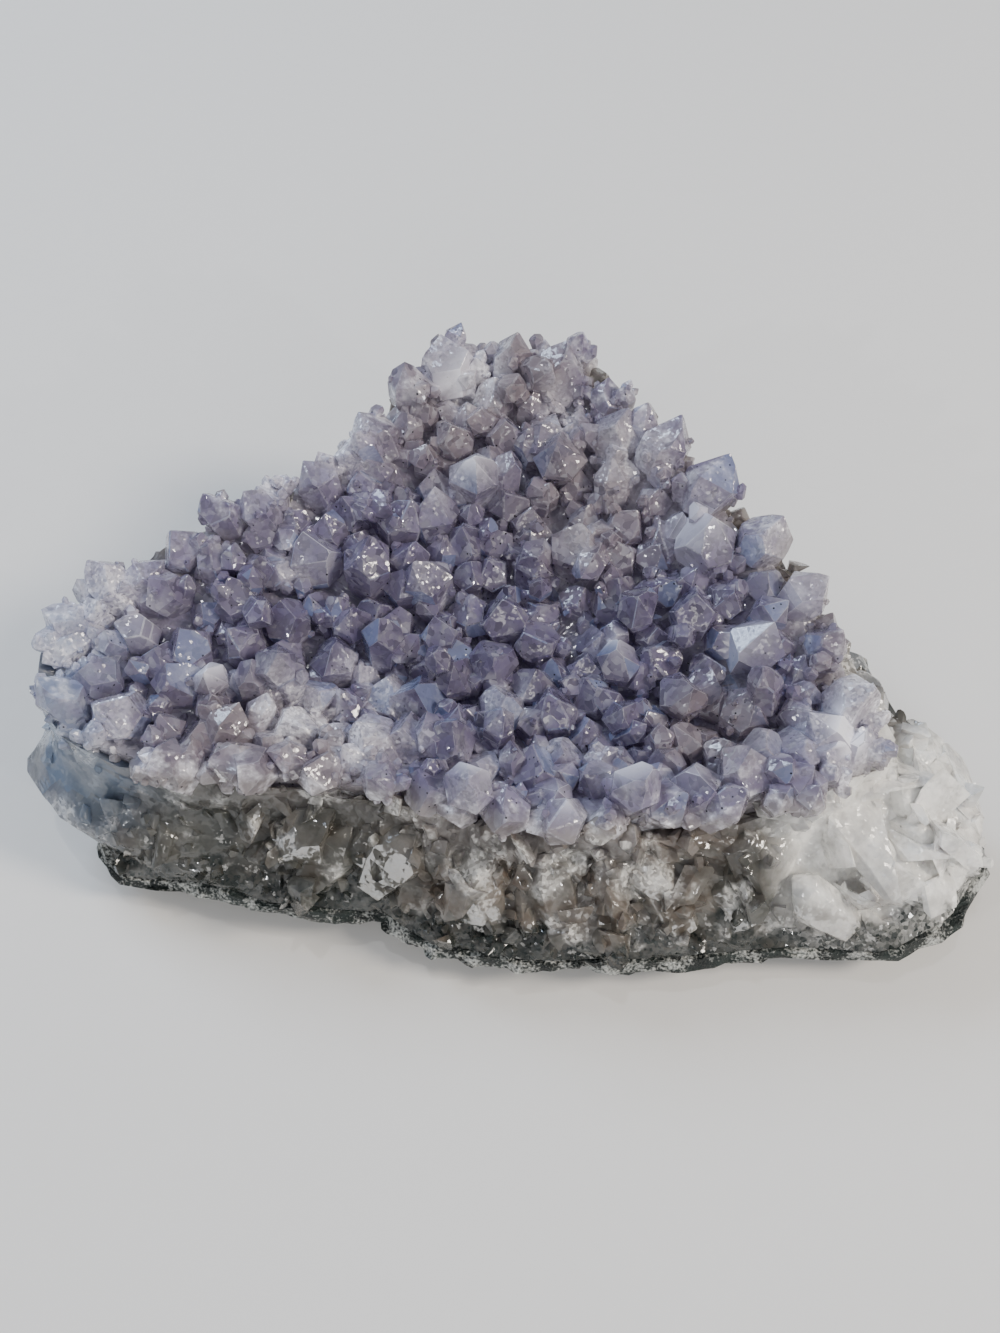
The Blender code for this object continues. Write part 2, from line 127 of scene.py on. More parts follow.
FILL_SEED, FILL_TRIES, FILL_HALF_WIDTHS, FILL_SPACING = 46, 12000, (2.1, 3.3), 0.66
FILL_RISE, FILL_LEAN, OUTWARD_LEAN = (1.2, 1.9), 26, 20
RIM_STEP, RIM_HALF_WIDTHS, RIM_RISE, RIM_SHARE = 5.4, (2.4, 3.3), (3.5, 6.0), 0.97

# Broken columns on the sides of the quartz.
COLUMN_SEED, COLUMN_SPACING, COLUMN_HALF_WIDTHS = 12, 6.5, (2.4, 4.2)
COLUMN_LENGTHS, COLUMN_LEAN, COLUMN_ROWS = (7, 14), 16, (0.18, 0.48)
SMOOTH_END = (158, 212)


# Where the carpet is pale, mostly frost and partly painted light: (x, y, size, strength). Where
# its crystals are clear and clean, where it is warm grey, and where the quartz is milky or takes
# painted shade: (x, y, size).
PALE_SPOTS = [
    (-4, 36, 6, 1.0), (8, 31, 4, 0.7), (14, -16, 3.2, 1.0), (-3, -17, 3.5, 0.5), (-23, -8, 6, 1.0),
    (-33, -3, 3, 1.0), (-3, 23, 4, 0.8), (38, -12, 7, 0.8), (43, -7, 7, 1.0), (29, 0, 4, 0.4),
    # Painted light on the apex's shaded right side.
    (16, 25, 7, 0.4),
    (24, 15, 6, 0.35), (-46, 5, 6, 0.8), (-50, -2, 5, 0.8), (-20, 26, 6, 0.8), (-28, 20, 5, 0.6),
    (-15, -12, 5, 0.8), (32, 12, 4, 0.6), (8, -20, 3, 0.5), (29, -13, 3, 0.3), (13, 2, 2.5, 0.5),
]
CLEAR_SPOTS = [
    (14, -16, 3.4), (-3, 23, 3.4), (-33, -3, 2.6), (-41, 2, 3.2), (-22, 12, 3.0), (29, 0, 3.8),
    (8, -19, 3.0), (-3, -16, 3.0), (38, -12, 3.2), (24, 14, 4.5), (14, 1, 2.4), (20, -16, 3.0),
    (-6, 36, 3.4), (34, 5, 3.0),
]
WARM_SPOTS = [(-6, 30, 12), (12, 20, 13), (3, 35, 9), (24, -10, 9), (-30, -12, 11), (-20, -14, 9),
              (38, 8, 8), (41, -5, 8)]
# Where the carpet next to the smooth end takes a painted pale blue reflection of the sky: (x, y,
# size).
SKY_REFLECTION_SPOTS = [(-52, -2, 11), (-50, -12, 8)]
MILK_SPOTS = [(50, -18, 15), (44, -14, 12), (53, -12, 10), (38, -22, 9)]
SHADE_SPOTS = [(-36, -20, 16), (-18, -22, 13), (30, -26, 11), (-46, -16, 8), (46, 3, 10), (51, -2, 7)]

# The smooth end as it is seen, from one bearing to another, and the lip of quartz that climbs
# round the carpet: how far it stands out and up, in millimetres.
CHALCEDONY = (162, 204)
LIP_REACH, LIP_RISE = 2.1, 4.0

# Nothing grows on the bed beyond this place at the back, so that it keeps to its solid's size.
BACK_LIMIT = 36.3

FLOOR_GAP, SLIVER, FOOT_INSET, SMOOTH_ANGLE = 0.05, 0.002, 0.5, 33
WALL_STEPS = 22
MIDDLE_KINDS, DRUSE_KINDS, SHARD_KINDS = 14, 10, 16

# The photograph's view. Lens and sensor are in millimetres, like the place.
CAMERA_PLACE, CAMERA_ELEVATION, LENS, SENSOR = (0, -76.498, 135.012), 56, 31.06, 36

# Lamps: name, place and width in metres, power in watts, colour.
LAMPS = [
    ("window", (-0.45, 0.42, 0.62), 0.36, 4.9, (0.66, 0.80, 1.0)),
    ("room", (0.62, -0.12, 0.55), 0.20, 5.0, (1.0, 0.91, 0.80)),
    ("front", (0.05, -0.75, 0.42), 0.30, 1.35, (1.0, 0.97, 0.93)),
    ("glint left", (-0.55, -0.45, 0.42), 0.016, 0.7, (0.95, 0.97, 1.0)),
    ("glint right", (0.50, -0.50, 0.36), 0.016, 0.6, (1.0, 0.98, 0.95)),
    ("glint top", (-0.05, 0.10, 0.90), 0.016, 0.7, (0.95, 0.97, 1.0)),
]
RIM_FROM_HOLLOW = [(a - HOLLOW[0], b - HOLLOW[1]) for a, b in RIM]


def crossing(outline, direction):
    """How far out a ray from the axis meets an outline."""
    for start, end in zip(outline, outline[1:] + outline[:1]):
        a = Vector(start)
        side = Vector(end) - a
        spread = direction.x * side.y - direction.y * side.x
        if abs(spread) < 1e-9:
            continue
        out = (a.x * side.y - a.y * side.x) / spread
        along = (a.x * direction.y - a.y * direction.x) / spread
        if out > 0 and -1e-6 <= along <= 1 + 1e-6:
            return out
    raise ValueError("the outline doesn't go round the axis")


def reach(outline, bearing):
    """An outline's distance from the axis at a bearing in degrees."""
    turn = math.radians(bearing)
    return crossing(outline, Vector((math.cos(turn), math.sin(turn))))


def rough(x, y, z, size, seed):
    """Smooth noise from -1 to 1 whose lumps are about one size across."""
    return noise.noise(Vector((x / size + seed, y / size, z / size)))


def share_of_rim(x, y):
    """0 at the lowest point of the hollow, 1 on the rim."""
    offset = Vector((x, y)) - Vector(HOLLOW)
    if offset.length < 1e-6:
        return 0
    return offset.length / crossing(RIM_FROM_HOLLOW, offset.normalized())


def hollow(x, y):
    """The hollow that climbs to the rim, and most at the apex."""
    return HOLLOW_FLOOR + HOLLOW_RISE * share_of_rim(x, y) ** 1.7 + APEX_LIFT * y


def bed_height(x, y):
    """Top of the crust that the points stand on: the hollow with lumps."""
    return hollow(x, y) + 1.2 * rough(x, y, 0, 13, 3) + 0.4 * rough(x, y, 0, 6, 9)


def seam_height(x, y):
    """Top of the quartz bed, under the amethyst."""
    return hollow(x, y) - CRUST_DEPTH - LAYER_GAP


def crust_underside(x, y):
    """Underside of the amethyst, a gap above the bed."""
    return hollow(x, y) - CRUST_DEPTH


def rind_height(x, y):
    """The uneven surface where quartz grew on basalt."""
    return RIND_TOP + RIND_SWELL * rough(x, y, 0, 15, 21) + 0.5 * rough(x, y, 0, 5, 2)


def facets(place, size, seed):
    """Height of flat, tilted chips about one size across, from about -1 to 1."""
    spot = place / size + Vector((seed, 0, 0))
    centre = noise.voronoi(spot)[1][0]
    tilt = noise.cell_vector(centre * 7.3) * 2 - Vector((1, 1, 1))
    return 1.1 * (spot - centre).dot(tilt) + 0.35 * noise.cell(centre * 3.1)


def polar_mesh(rings, bearings=COARSE):
    """A closed working mesh from rings of points around the axis, closed at both ends."""
    mesh = bmesh.new()
    steps = [360 * step / bearings for step in range(bearings)]
    made = [[mesh.verts.new(ring(bearing)) for bearing in steps] for ring in rings]
    for first, second in zip(made, made[1:]):
        growing = girth(first) < girth(second)
        inner, outer = (first, second) if growing else (second, first)
        for i in range(bearings):
            j = (i + 1) % bearings
            mesh.faces.new((inner[i], outer[i], outer[j]))
            mesh.faces.new((inner[i], outer[j], inner[j]))
    for ring in (made[0], made[-1]):
        centre = mesh.verts.new(sum((vert.co for vert in ring), Vector()) / bearings)
        for i in range(bearings):
            mesh.faces.new((ring[i], ring[(i + 1) % bearings], centre))
    bmesh.ops.recalc_face_normals(mesh, faces=mesh.faces)
    return mesh


def girth(ring):
    """The sum of a ring's distances from the axis."""
    return sum(vert.co.xy.length for vert in ring)


def disc(outline, share, height):
    """A ring at a share of an outline's reach, at the height that a function gives."""

    def point(bearing):
        turn = math.radians(bearing)
        out = share * reach(outline, bearing)
        x, y = out * math.cos(turn), out * math.sin(turn)
        return Vector((x, y, height(x, y)))

    return point


def wall(share, roughness=0.0):
    """A ring on the broken side: share is 0 on the rind, 1 on the rim of the bed."""

    def point(bearing):
        turn = math.radians(bearing)
        ray = Vector((math.cos(turn), math.sin(turn)))
        foot, waist, rim = (reach(o, bearing) for o in (FOOT, WAIST, RIM))
        low = rind_height(*(ray * foot)) + LAYER_GAP
        high = seam_height(*(ray * rim))
        z = low + share * (high - low)
        if z < WAIST_HEIGHT:
            out = foot + (waist - foot) * (z - low) / max(WAIST_HEIGHT - low, 0.1)
        else:
            out = waist + (rim - waist) * (z - WAIST_HEIGHT) / max(high - WAIST_HEIGHT, 0.1)
        calm = 0.35 if SMOOTH_END[0] < bearing < SMOOTH_END[1] else 1
        x, y = ray * out
        out += calm * roughness * rough(x, y, z, 4.5, 31)
        return Vector((*(ray * out), z))

    return point


def rind_underside(x, y):
    """The rind's underside: a flat spot in the middle, and pitted edges that lift off the table."""
    out = math.hypot(x, y) / reach(FOOT, math.degrees(math.atan2(y, x)))
    if out < FLAT_SHARE + 0.01:
        return 0
    rise = (out - FLAT_SHARE) / (1 - FLAT_SHARE)
    pits = 1.5 * rise * rough(x, y, 0, 9, 5) + 0.8 * rough(x, y, 0, 5, 13)
    return max(0.15, EDGE_LIFT * rise**1.5 + pits + 0.5)


def rind_rim(bearing):
    """The rind's widest ring."""
    x, y, _ = disc(FOOT, 1.02, rind_underside)(bearing)
    z = 0.45 * rind_underside(x, y) + 0.55 * rind_height(x, y)
    grow = 1 + 0.02 * rough(x, y, 0, 6, 17)
    return Vector((x * grow, y * grow, z))


def crystal(half_width, length, seed, root=1.0, edge=0.0):
    """A quartz point along +Z from its root at the origin, with uneven sides and tip faces."""
    shape = random.Random(seed)
    mesh = bmesh.new()
    bmesh.ops.create_cone(
        mesh, cap_ends=True, segments=6, radius1=root * half_width * 1.6,
        radius2=half_width * 1.6, depth=length + 2,
    )
    bmesh.ops.translate(mesh, verts=mesh.verts, vec=(0, 0, (length + 2) / 2))
    for side in range(6):
        turn = math.pi * side / 3
        out = Vector((math.cos(turn), math.sin(turn), 0))
        trim(mesh, out * half_width * shape.uniform(0.72, 1.12), out)
        facing = out * math.sin(TIP_SLOPE) + Vector((0, 0, math.cos(TIP_SLOPE)))
        uneven = shape.uniform(-0.25, 0.35) + 0.3 * (side % 2)
        trim(mesh, Vector((0, 0, length + uneven * half_width)), facing)
    worn = chamfer(mesh, edge * (0.5 + 2.2 * shape.random() ** 2)) if edge else []
    return marked(mesh, seed, worn)


def trim(mesh, point, facing):
    """Cuts a convex mesh with a plane and closes the cut."""
    geometry = mesh.verts[:] + mesh.edges[:] + mesh.faces[:]
    cut = bmesh.ops.bisect_plane(
        mesh, geom=geometry, plane_co=point, plane_no=facing, clear_outer=True, dist=1e-5
    )
    edges = [item for item in cut["geom_cut"] if isinstance(item, bmesh.types.BMEdge)]
    if edges:
        bmesh.ops.edgenet_fill(mesh, edges=edges)


def chamfer(mesh, width):
    """Wears down the edges of a convex mesh. Gives the new faces."""
    bmesh.ops.recalc_face_normals(mesh, faces=mesh.faces)
    made = bmesh.ops.bevel(
        mesh, geom=mesh.edges[:], offset=width, offset_type="OFFSET", segments=1,
        profile=0.5, affect="EDGES", clamp_overlap=True,
    )
    mesh.faces.index_update()
    return {face.index for face in made["faces"]}


def marked(mesh, seed, worn=()):
    """Gives each face of a crystal a tone of its own, and marks the worn edges."""
    draw = random.Random(seed + 4000)
    tone, edge = (mesh.faces.layers.float.new(name) for name in ("tone", "edge"))
    for face in mesh.faces:
        face[tone], face[edge] = draw.random(), float(face.index in worn)
    return mesh


def toned(mesh, size):
    """Gives the faces of a broken surface tones in patches about one size across."""
    tone, edge = (mesh.faces.layers.float.new(name) for name in ("tone", "edge"))
    for face in mesh.faces:
        spot = face.calc_center_median() / size
        face[tone], face[edge] = noise.cell(noise.voronoi(spot)[1][0] * 5.1), 0
    return mesh


def broken_column(seed, stretch):
    """A broken prism about 1 across along Z, with slanted ends."""
    draw = random.Random(seed)
    mesh = bmesh.new()
    bmesh.ops.create_cone(
        mesh, cap_ends=True, segments=6, radius1=0.9, radius2=0.9, depth=2 * stretch
    )
    for side in range(6):
        turn = math.pi * side / 3 + draw.uniform(-0.2, 0.2)
        out = Vector((math.cos(turn), math.sin(turn), draw.uniform(-0.06, 0.06)))
        trim(mesh, out * draw.uniform(0.38, 0.58), out)
    for end in (1, 1, -1):
        facing = Vector((draw.uniform(-1, 1), draw.uniform(-1, 1), end * 1.1)).normalized()
        trim(mesh, Vector((0, 0, end * stretch * draw.uniform(0.38, 0.5))), facing)
    return marked(mesh, seed, chamfer(mesh, 0.06))


def chunk(seed, stretch, cuts=9):
    """A convex broken lump about 1 across, stretched along Z."""
    draw = random.Random(seed)
    mesh = bmesh.new()
    bmesh.ops.create_cube(mesh, size=2)
    for _ in range(cuts):
        facing = Vector((draw.gauss(0, 1), draw.gauss(0, 1), draw.gauss(0, 0.8))).normalized()
        trim(mesh, facing * draw.uniform(0.4, 0.6), facing)
    bmesh.ops.recalc_face_normals(mesh, faces=mesh.faces)
    bmesh.ops.scale(mesh, verts=mesh.verts, vec=(1, 1, stretch))
    return marked(mesh, seed)


def placed(place, axis, twist):
    """The matrix that stands a crystal on a place along an axis."""
    turn = Vector((0, 0, 1)).rotation_difference(axis.normalized()).to_matrix().to_4x4()
    return Matrix.Translation(place) @ turn @ Matrix.Rotation(twist, 4, "Z")


def leaning(x, y, lean, bearing):
    """A direction that leans from upright, and outwards near the rim."""
    side = Vector((math.cos(math.radians(bearing)), math.sin(math.radians(bearing)), 0))
    lifted = Vector((0, 0, 1)) + side * math.tan(math.radians(lean))
    outward = Vector((x, y, 0)).normalized() * share_of_rim(x, y) ** 3
    return lifted + outward * math.tan(math.radians(OUTWARD_LEAN))


def rim_points(draw):
    """Points along the rim, where no large one stands already."""
    points = []
    bearing = 0.0
    while bearing < 357:
        turn, out = math.radians(bearing), RIM_SHARE * reach(RIM, bearing)
        bearing += math.degrees(RIM_STEP * draw.uniform(0.8, 1.2) / out)
        x, y, half = out * math.cos(turn), out * math.sin(turn), draw.uniform(*RIM_HALF_WIDTHS)
        if all(math.hypot(x - a, y - b) > 0.8 * (half + c) for a, b, c, *_ in LARGE_POINTS):
            lean, aside = draw.uniform(0, 18), math.degrees(turn) + draw.uniform(-70, 70)
            points.append((x, y, half, draw.uniform(*RIM_RISE), lean, aside))
    return points


def all_points():
    """The large points, those on the rim and the small ones between, none too near another."""
    draw = random.Random(FILL_SEED)
    points = LARGE_POINTS + rim_points(draw)
    taken = [(x, y, half) for x, y, half, *_ in points]
    for _ in range(FILL_TRIES):
        x, y = draw.uniform(-54, 44), draw.uniform(-21, 39)
        half = draw.uniform(*FILL_HALF_WIDTHS)
        if share_of_rim(x, y) > 0.95:
            continue
        clear = all(
            math.hypot(x - a, y - b) > FILL_SPACING * (half + other) for a, b, other in taken
        )
        if clear:
            taken.append((x, y, half))
            rise = half * draw.uniform(*FILL_RISE)
            points.append((x, y, half, rise, draw.uniform(0, FILL_LEAN), draw.uniform(0, 360)))
    return points


def columns():
    """The broken columns on the sides of the bed, as meshes in their places."""
    draw = random.Random(COLUMN_SEED)
    return [column(draw, bearing, rise) for rise in COLUMN_ROWS for bearing in bearings_of(draw)]


def bearings_of(draw):
    """Where the columns of one row stand round the bed, away from its smooth end."""
    bearing, found = draw.uniform(0, 8), []
    while bearing < 358:
        if not SMOOTH_END[0] < bearing < SMOOTH_END[1]:
            found.append(bearing)
        bearing += math.degrees(COLUMN_SPACING / reach(WAIST, bearing)) * draw.uniform(0.7, 1.3)
    return found


def column(draw, bearing, rise):
    """A broken column, half sunk in the side of the bed, with its root at a share of the height."""
    half = draw.uniform(*COLUMN_HALF_WIDTHS)
    low, high = wall(rise * draw.uniform(0.85, 1.25))(bearing), wall(0.92)(bearing)
    length = min(draw.uniform(*COLUMN_LENGTHS), 0.95 * (high - low).length)
    turn = math.radians(bearing)
    side = Vector((-math.sin(turn), math.cos(turn), 0))
    out = Vector((math.cos(turn), math.sin(turn), 0))
    lean = side * draw.uniform(-1, 1) + out * draw.uniform(-0.3, 1)
    axis = (high - low).normalized() + lean * math.tan(math.radians(COLUMN_LEAN))
    mesh = crystal(half, length, int(bearing * 10), root=0.5, edge=0.3)
    mesh.transform(placed(low - out * 0.55 * half, axis, draw.uniform(0, 6)))
    return mesh


def packed_shift():
    """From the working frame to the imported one, read off the rind, which both have."""
    low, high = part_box("basalt_rind")
    xs, ys = zip(*(rind_rim(360 * step / COARSE).xy for step in range(COARSE)))
    return Vector((
        (low[0] + high[0]) / 2 / MM - (min(xs) + max(xs)) / 2,
        (low[1] + high[1]) / 2 / MM - (min(ys) + max(ys)) / 2,
        0,
    ))


SHIFT = packed_shift()


def object_of(name, mesh, collection=None):
    """Turns a working mesh into an object in metres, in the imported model's frame."""
    mesh.transform(Matrix.Scale(MM, 4) @ Matrix.Translation(SHIFT))
    return plain_object(name, mesh, collection)


def plain_object(name, mesh, collection=None):
    """Turns a mesh into an object as it is."""
    bmesh.ops.recalc_face_normals(mesh, faces=mesh.faces)
    data = bpy.data.meshes.new(name)
    mesh.to_mesh(data)
    mesh.free()
    made = bpy.data.objects.new(name, data)
    (collection or bpy.context.scene.collection).objects.link(made)
    return made


def shelf(name, meshes, in_place=False):
    """A collection, kept out of the scene, of shapes that a tree of nodes takes."""
    held = bpy.data.collections.new(name)
    for number, mesh in enumerate(meshes):
        (object_of if in_place else plain_object)(f"{name}_{number}", mesh, held)
    return held


def cleared(held):
    """Throws a shelf and its shapes away."""
    for item in list(held.objects):
        bpy.data.objects.remove(item)
    bpy.data.collections.remove(held)


class Value:
    """A socket, so that maths on it is written as maths."""

    def __init__(self, nodes, socket):
        self.nodes, self.socket = nodes, socket

    def out(self, name):
        """Another output of the node that this one comes from."""
        return Value(self.nodes, self.socket.node.outputs[name])

    def __add__(self, other):
        return self.nodes.maths("ADD", self, other)

    def __radd__(self, other):
        return self.nodes.maths("ADD", other, self)

    def __sub__(self, other):
        return self.nodes.maths("SUBTRACT", self, other)

    def __rsub__(self, other):
        return self.nodes.maths("SUBTRACT", other, self)

    def __mul__(self, other):
        return self.nodes.maths("MULTIPLY", self, other)

    def __rmul__(self, other):
        return self.nodes.maths("MULTIPLY", other, self)

    def __truediv__(self, other):
        return self.nodes.maths("DIVIDE", self, other)

    def __pow__(self, other):
        return self.nodes.maths("POWER", self, other)

    def between(self, low, high):
        """0 at low, 1 at high, and held there beyond."""
        return self.nodes.maths("MULTIPLY", self - low, 1 / (high - low), clamp=True)


class Nodes:
    """Adds nodes to a tree, with their settings and what their sockets hold."""

    def __init__(self, tree):
        self.tree = tree

    def add(self, kind, settings=None, sockets=None, output=0):
        """One node. Its settings are set first, then its sockets are linked or set."""
        node = self.tree.nodes.new(kind)
        for name, value in (settings or {}).items():
            if name == "stops":
                self.stops(node.color_ramp, value)
            else:
                setattr(node, name, value)
        for key, value in (sockets or {}).items():
            for each in value if isinstance(value, list) else [value]:
                if isinstance(each, Value):
                    self.tree.links.new(each.socket, node.inputs[key])
                else:
                    node.inputs[key].default_value = each
        return Value(self, node.outputs[output]) if node.outputs else node

    def stops(self, ramp, values):
        """Sets a colour ramp's stops, as (place, colour) pairs."""
        while len(ramp.elements) < len(values):
            ramp.elements.new(0.5)
        for element, (place, colour) in zip(ramp.elements, values):
            element.position = place
            element.color = (*colour, 1)

    def maths(self, operation, first, second=0.0, clamp=False):
        settings = {"operation": operation, "use_clamp": clamp}
        return self.add("ShaderNodeMath", settings, {0: first, 1: second})

    def vector(self, operation, first, second=(0, 0, 0)):
        return self.add("ShaderNodeVectorMath", {"operation": operation}, {0: first, 1: second})

    def scaled(self, vector, factor):
        """A vector times a number."""
        settings = {"operation": "SCALE"}
        return self.add("ShaderNodeVectorMath", settings, {0: vector, "Scale": factor})

    def mix(self, factor, first, second, blend="MIX"):
        """A colour between two others."""
        settings = {"data_type": "RGBA", "blend_type": blend}
        sockets = {0: factor, 6: opaque(first), 7: opaque(second)}
        return self.add("ShaderNodeMix", settings, sockets, output=2)

    def noise(self, place, size, detail=3.0, output="Fac"):
        """Noise whose lumps are about one size across, in millimetres."""
        sockets = {"Vector": place, "Scale": 1 / (size * MM), "Detail": detail}
        return self.add("ShaderNodeTexNoise", None, sockets, output)

    def cells(self, place, size, feature="F1", output="Distance"):
        """Cells about one size across, in millimetres."""
        sockets = {"Vector": place, "Scale": 1 / (size * MM)}
        return self.add("ShaderNodeTexVoronoi", {"feature": feature}, sockets, output)

    def mark(self, name):
        """A value that the mesh carries at each point."""
        return self.add("ShaderNodeAttribute", {"attribute_name": name}, output="Fac")


def opaque(colour):
    """A colour with its alpha, or a socket as it is."""
    return colour if isinstance(colour, Value) else (*colour, 1)


def finish(name):
    """A new material, with its nodes and the place on the piece that its patterns follow."""
    material = bpy.data.materials.new(name)
    material.use_nodes = True
    material.node_tree.nodes.clear()
    nodes = Nodes(material.node_tree)
    place = nodes.add("ShaderNodeTexCoord", output="Object")
    return material, nodes, place


def surfaced(nodes, shader, absorbed=None, density=0.0):
    """Ends a material in its surface and, where it is clear, in what it takes from the light."""
    sockets = {"Surface": shader}
    if absorbed:
        sockets["Volume"] = nodes.add(
            "ShaderNodeVolumeAbsorption", None, {"Color": opaque(absorbed), "Density": density}
        )
    nodes.add("ShaderNodeOutputMaterial", None, sockets)


def bent(nodes, normal, cells, strength):
    """A normal that jumps from cell to cell, so that some of them catch a lamp."""
    turns = nodes.vector("SUBTRACT", cells, (0.5, 0.5, 0.5))
    return nodes.vector("NORMALIZE", nodes.vector("ADD", normal, nodes.scaled(turns, strength)))


def refracted(nodes, place, size):
    """The place that patterns inside a crystal follow: wavy, and it jumps from face to face."""
    jump = nodes.add("ShaderNodeCombineXYZ", None, {0: 0.31, 1: 0.57, 2: 0.43})
    jumped = nodes.vector("ADD", place, nodes.scaled(jump, nodes.mark("tone")))
    waves = nodes.vector("SUBTRACT", nodes.noise(place, size, 1, "Color"), (0.5, 0.5, 0.5))
    return nodes.vector("ADD", jumped, nodes.scaled(waves, 1.2 * size * MM))


def part(nodes, colour, number):
    """A colour's red, green or blue part."""
    return nodes.add("ShaderNodeSeparateColor", None, {0: colour}, number)


def crystalline(nodes, colour, roughness, normal, milky, look):
    """Crystal that is see-through where it is clear, and cloudy throughout where it is milky."""
    kinds = []
    for clearness in (look.clearness, 0.0):
        shader = nodes.add("ShaderNodeBsdfPrincipled", None, {
            "Base Color": colour, "Roughness": roughness, "Normal": normal,
            "IOR": 1.544, "Transmission Weight": clearness,
            "Subsurface Weight": look.milkiness, "Subsurface Scale": look.glow * MM,
            "Subsurface Radius": (1.0, 0.95, 1.05),
        })
        shader.socket.node.subsurface_method = "BURLEY"
        kinds.append(shader)
    return nodes.add("ShaderNodeMixShader", None, {0: milky, 1: kinds[0], 2: kinds[1]})


def amethyst_finish(look):
    """Cloudy lilac crystal, full of bent reflections, with painted highlights on its edges, painted
    reflections inside, and paler at the rim, partly by painted light.
    """
    material, nodes, place = finish("cloudy amethyst")
    tint, rise, rim = nodes.mark("tint"), nodes.mark("rise"), nodes.mark("rim")
    pale, warm, edge = nodes.mark("pale"), nodes.mark("warm"), nodes.mark("edge")
    tone, clear = nodes.mark("tone"), nodes.mark("clear")
    flake = nodes.cells(refracted(nodes, place, 1.3), 1.0, output="Color")
    grain = nodes.cells(place, 0.35, output="Color")
    clouds = nodes.noise(place, 2.2, 3).between(0.38, 0.62)
    colour = nodes.mix(tint * 0.7 + tone * 0.4, look.deep_colour, look.main_colour)
    colour = nodes.mix(clouds * 0.5, colour, look.grey_colour)
    colour = nodes.mix(warm * 0.75, colour, look.warm_colour)
    # Painted dark reflections inside, in cells that jump from face to face.
    colour = nodes.mix(part(nodes, flake, 0) ** 2 * 0.6, colour, look.dark_reflection_colour)
    # Painted highlight: the large clean points are lightened face by face.
    colour = nodes.mix(clear * (0.15 + 0.5 * tone), colour, look.clear_highlight_colour)
    # Milky feet of the points, partly lightened as painted fill light in the crevices where shade
    # falls.
    colour = nodes.mix(rise.between(0.6, -0.1) * 0.6, colour, look.root_and_fill_light_colour)
    # Painted reflections of the sky: pale blue on a few faces picked at random.
    colour = nodes.mix(tone.between(0.9, 0.92) * (1 - warm) * 0.6, colour, look.cool_colour)
    colour = nodes.mix(rise.between(0.35, -0.2) * rim * 0.85, colour, look.edge_colour)
    # Painted reflection of the sky: pale blue on the carpet next to the smooth end.
    colour = nodes.mix(nodes.mark("icy") * (0.4 + 0.4 * clouds), colour, look.sky_reflection_colour)
    fine, light = part(nodes, grain, 0), part(nodes, flake, 2).between(0.6, 1.0)
    patchy = nodes.noise(place, 3.4, 4).between(0.46, 0.56)
    # Whiter at the rim: partly white druse, partly painted light where the rim catches the light.
    whiter = nodes.maths("MAXIMUM", pale * (0.6 + 0.4 * patchy), rim * clouds * patchy * 0.9)
    whiter = whiter * (0.5 + 0.5 * fine) * (1 - 0.6 * clear)
    # Painted highlights: white faces on the large clean points in pale spots.
    whiter = nodes.maths("MAXIMUM", whiter, pale * clear * (0.35 + 0.65 * tone))
    # Painted highlights on the worn edges, and painted bright reflections in the flakes inside.
    edge_glints_and_bright_flakes = nodes.maths("MAXIMUM", edge * (0.35 * fine + 0.4 * clear), light * clouds * 0.4)
    colour = nodes.mix(nodes.maths("MAXIMUM", whiter, edge_glints_and_bright_flakes), colour, look.white_colour)
    speck = part(nodes, grain, 1).between(0.975, 0.98) * grain.out("Distance").between(0.4, 0.3)
    colour = nodes.mix(speck * (1 - pale) * rise.between(0.9, 0.6), colour, look.speck_colour)
    frosted = nodes.noise(place, 2.6, 1).between(0.52, 0.7)
    sugary = nodes.maths("MAXIMUM", frosted * 0.5, pale * 0.7) * (1 - clear * 0.8)
    normal = nodes.add("ShaderNodeNewGeometry", output="Normal")
    normal = bent(nodes, normal, flake, 0.34 - 0.24 * clear)
    normal = bent(nodes, normal, grain, sugary + 0.15 - 0.12 * clear)
    shader = crystalline(nodes, colour, 0.11 + 0.2 * sugary, normal, whiter, look)
    surfaced(nodes, shader, look.absorbed_colour, look.density)
    return material


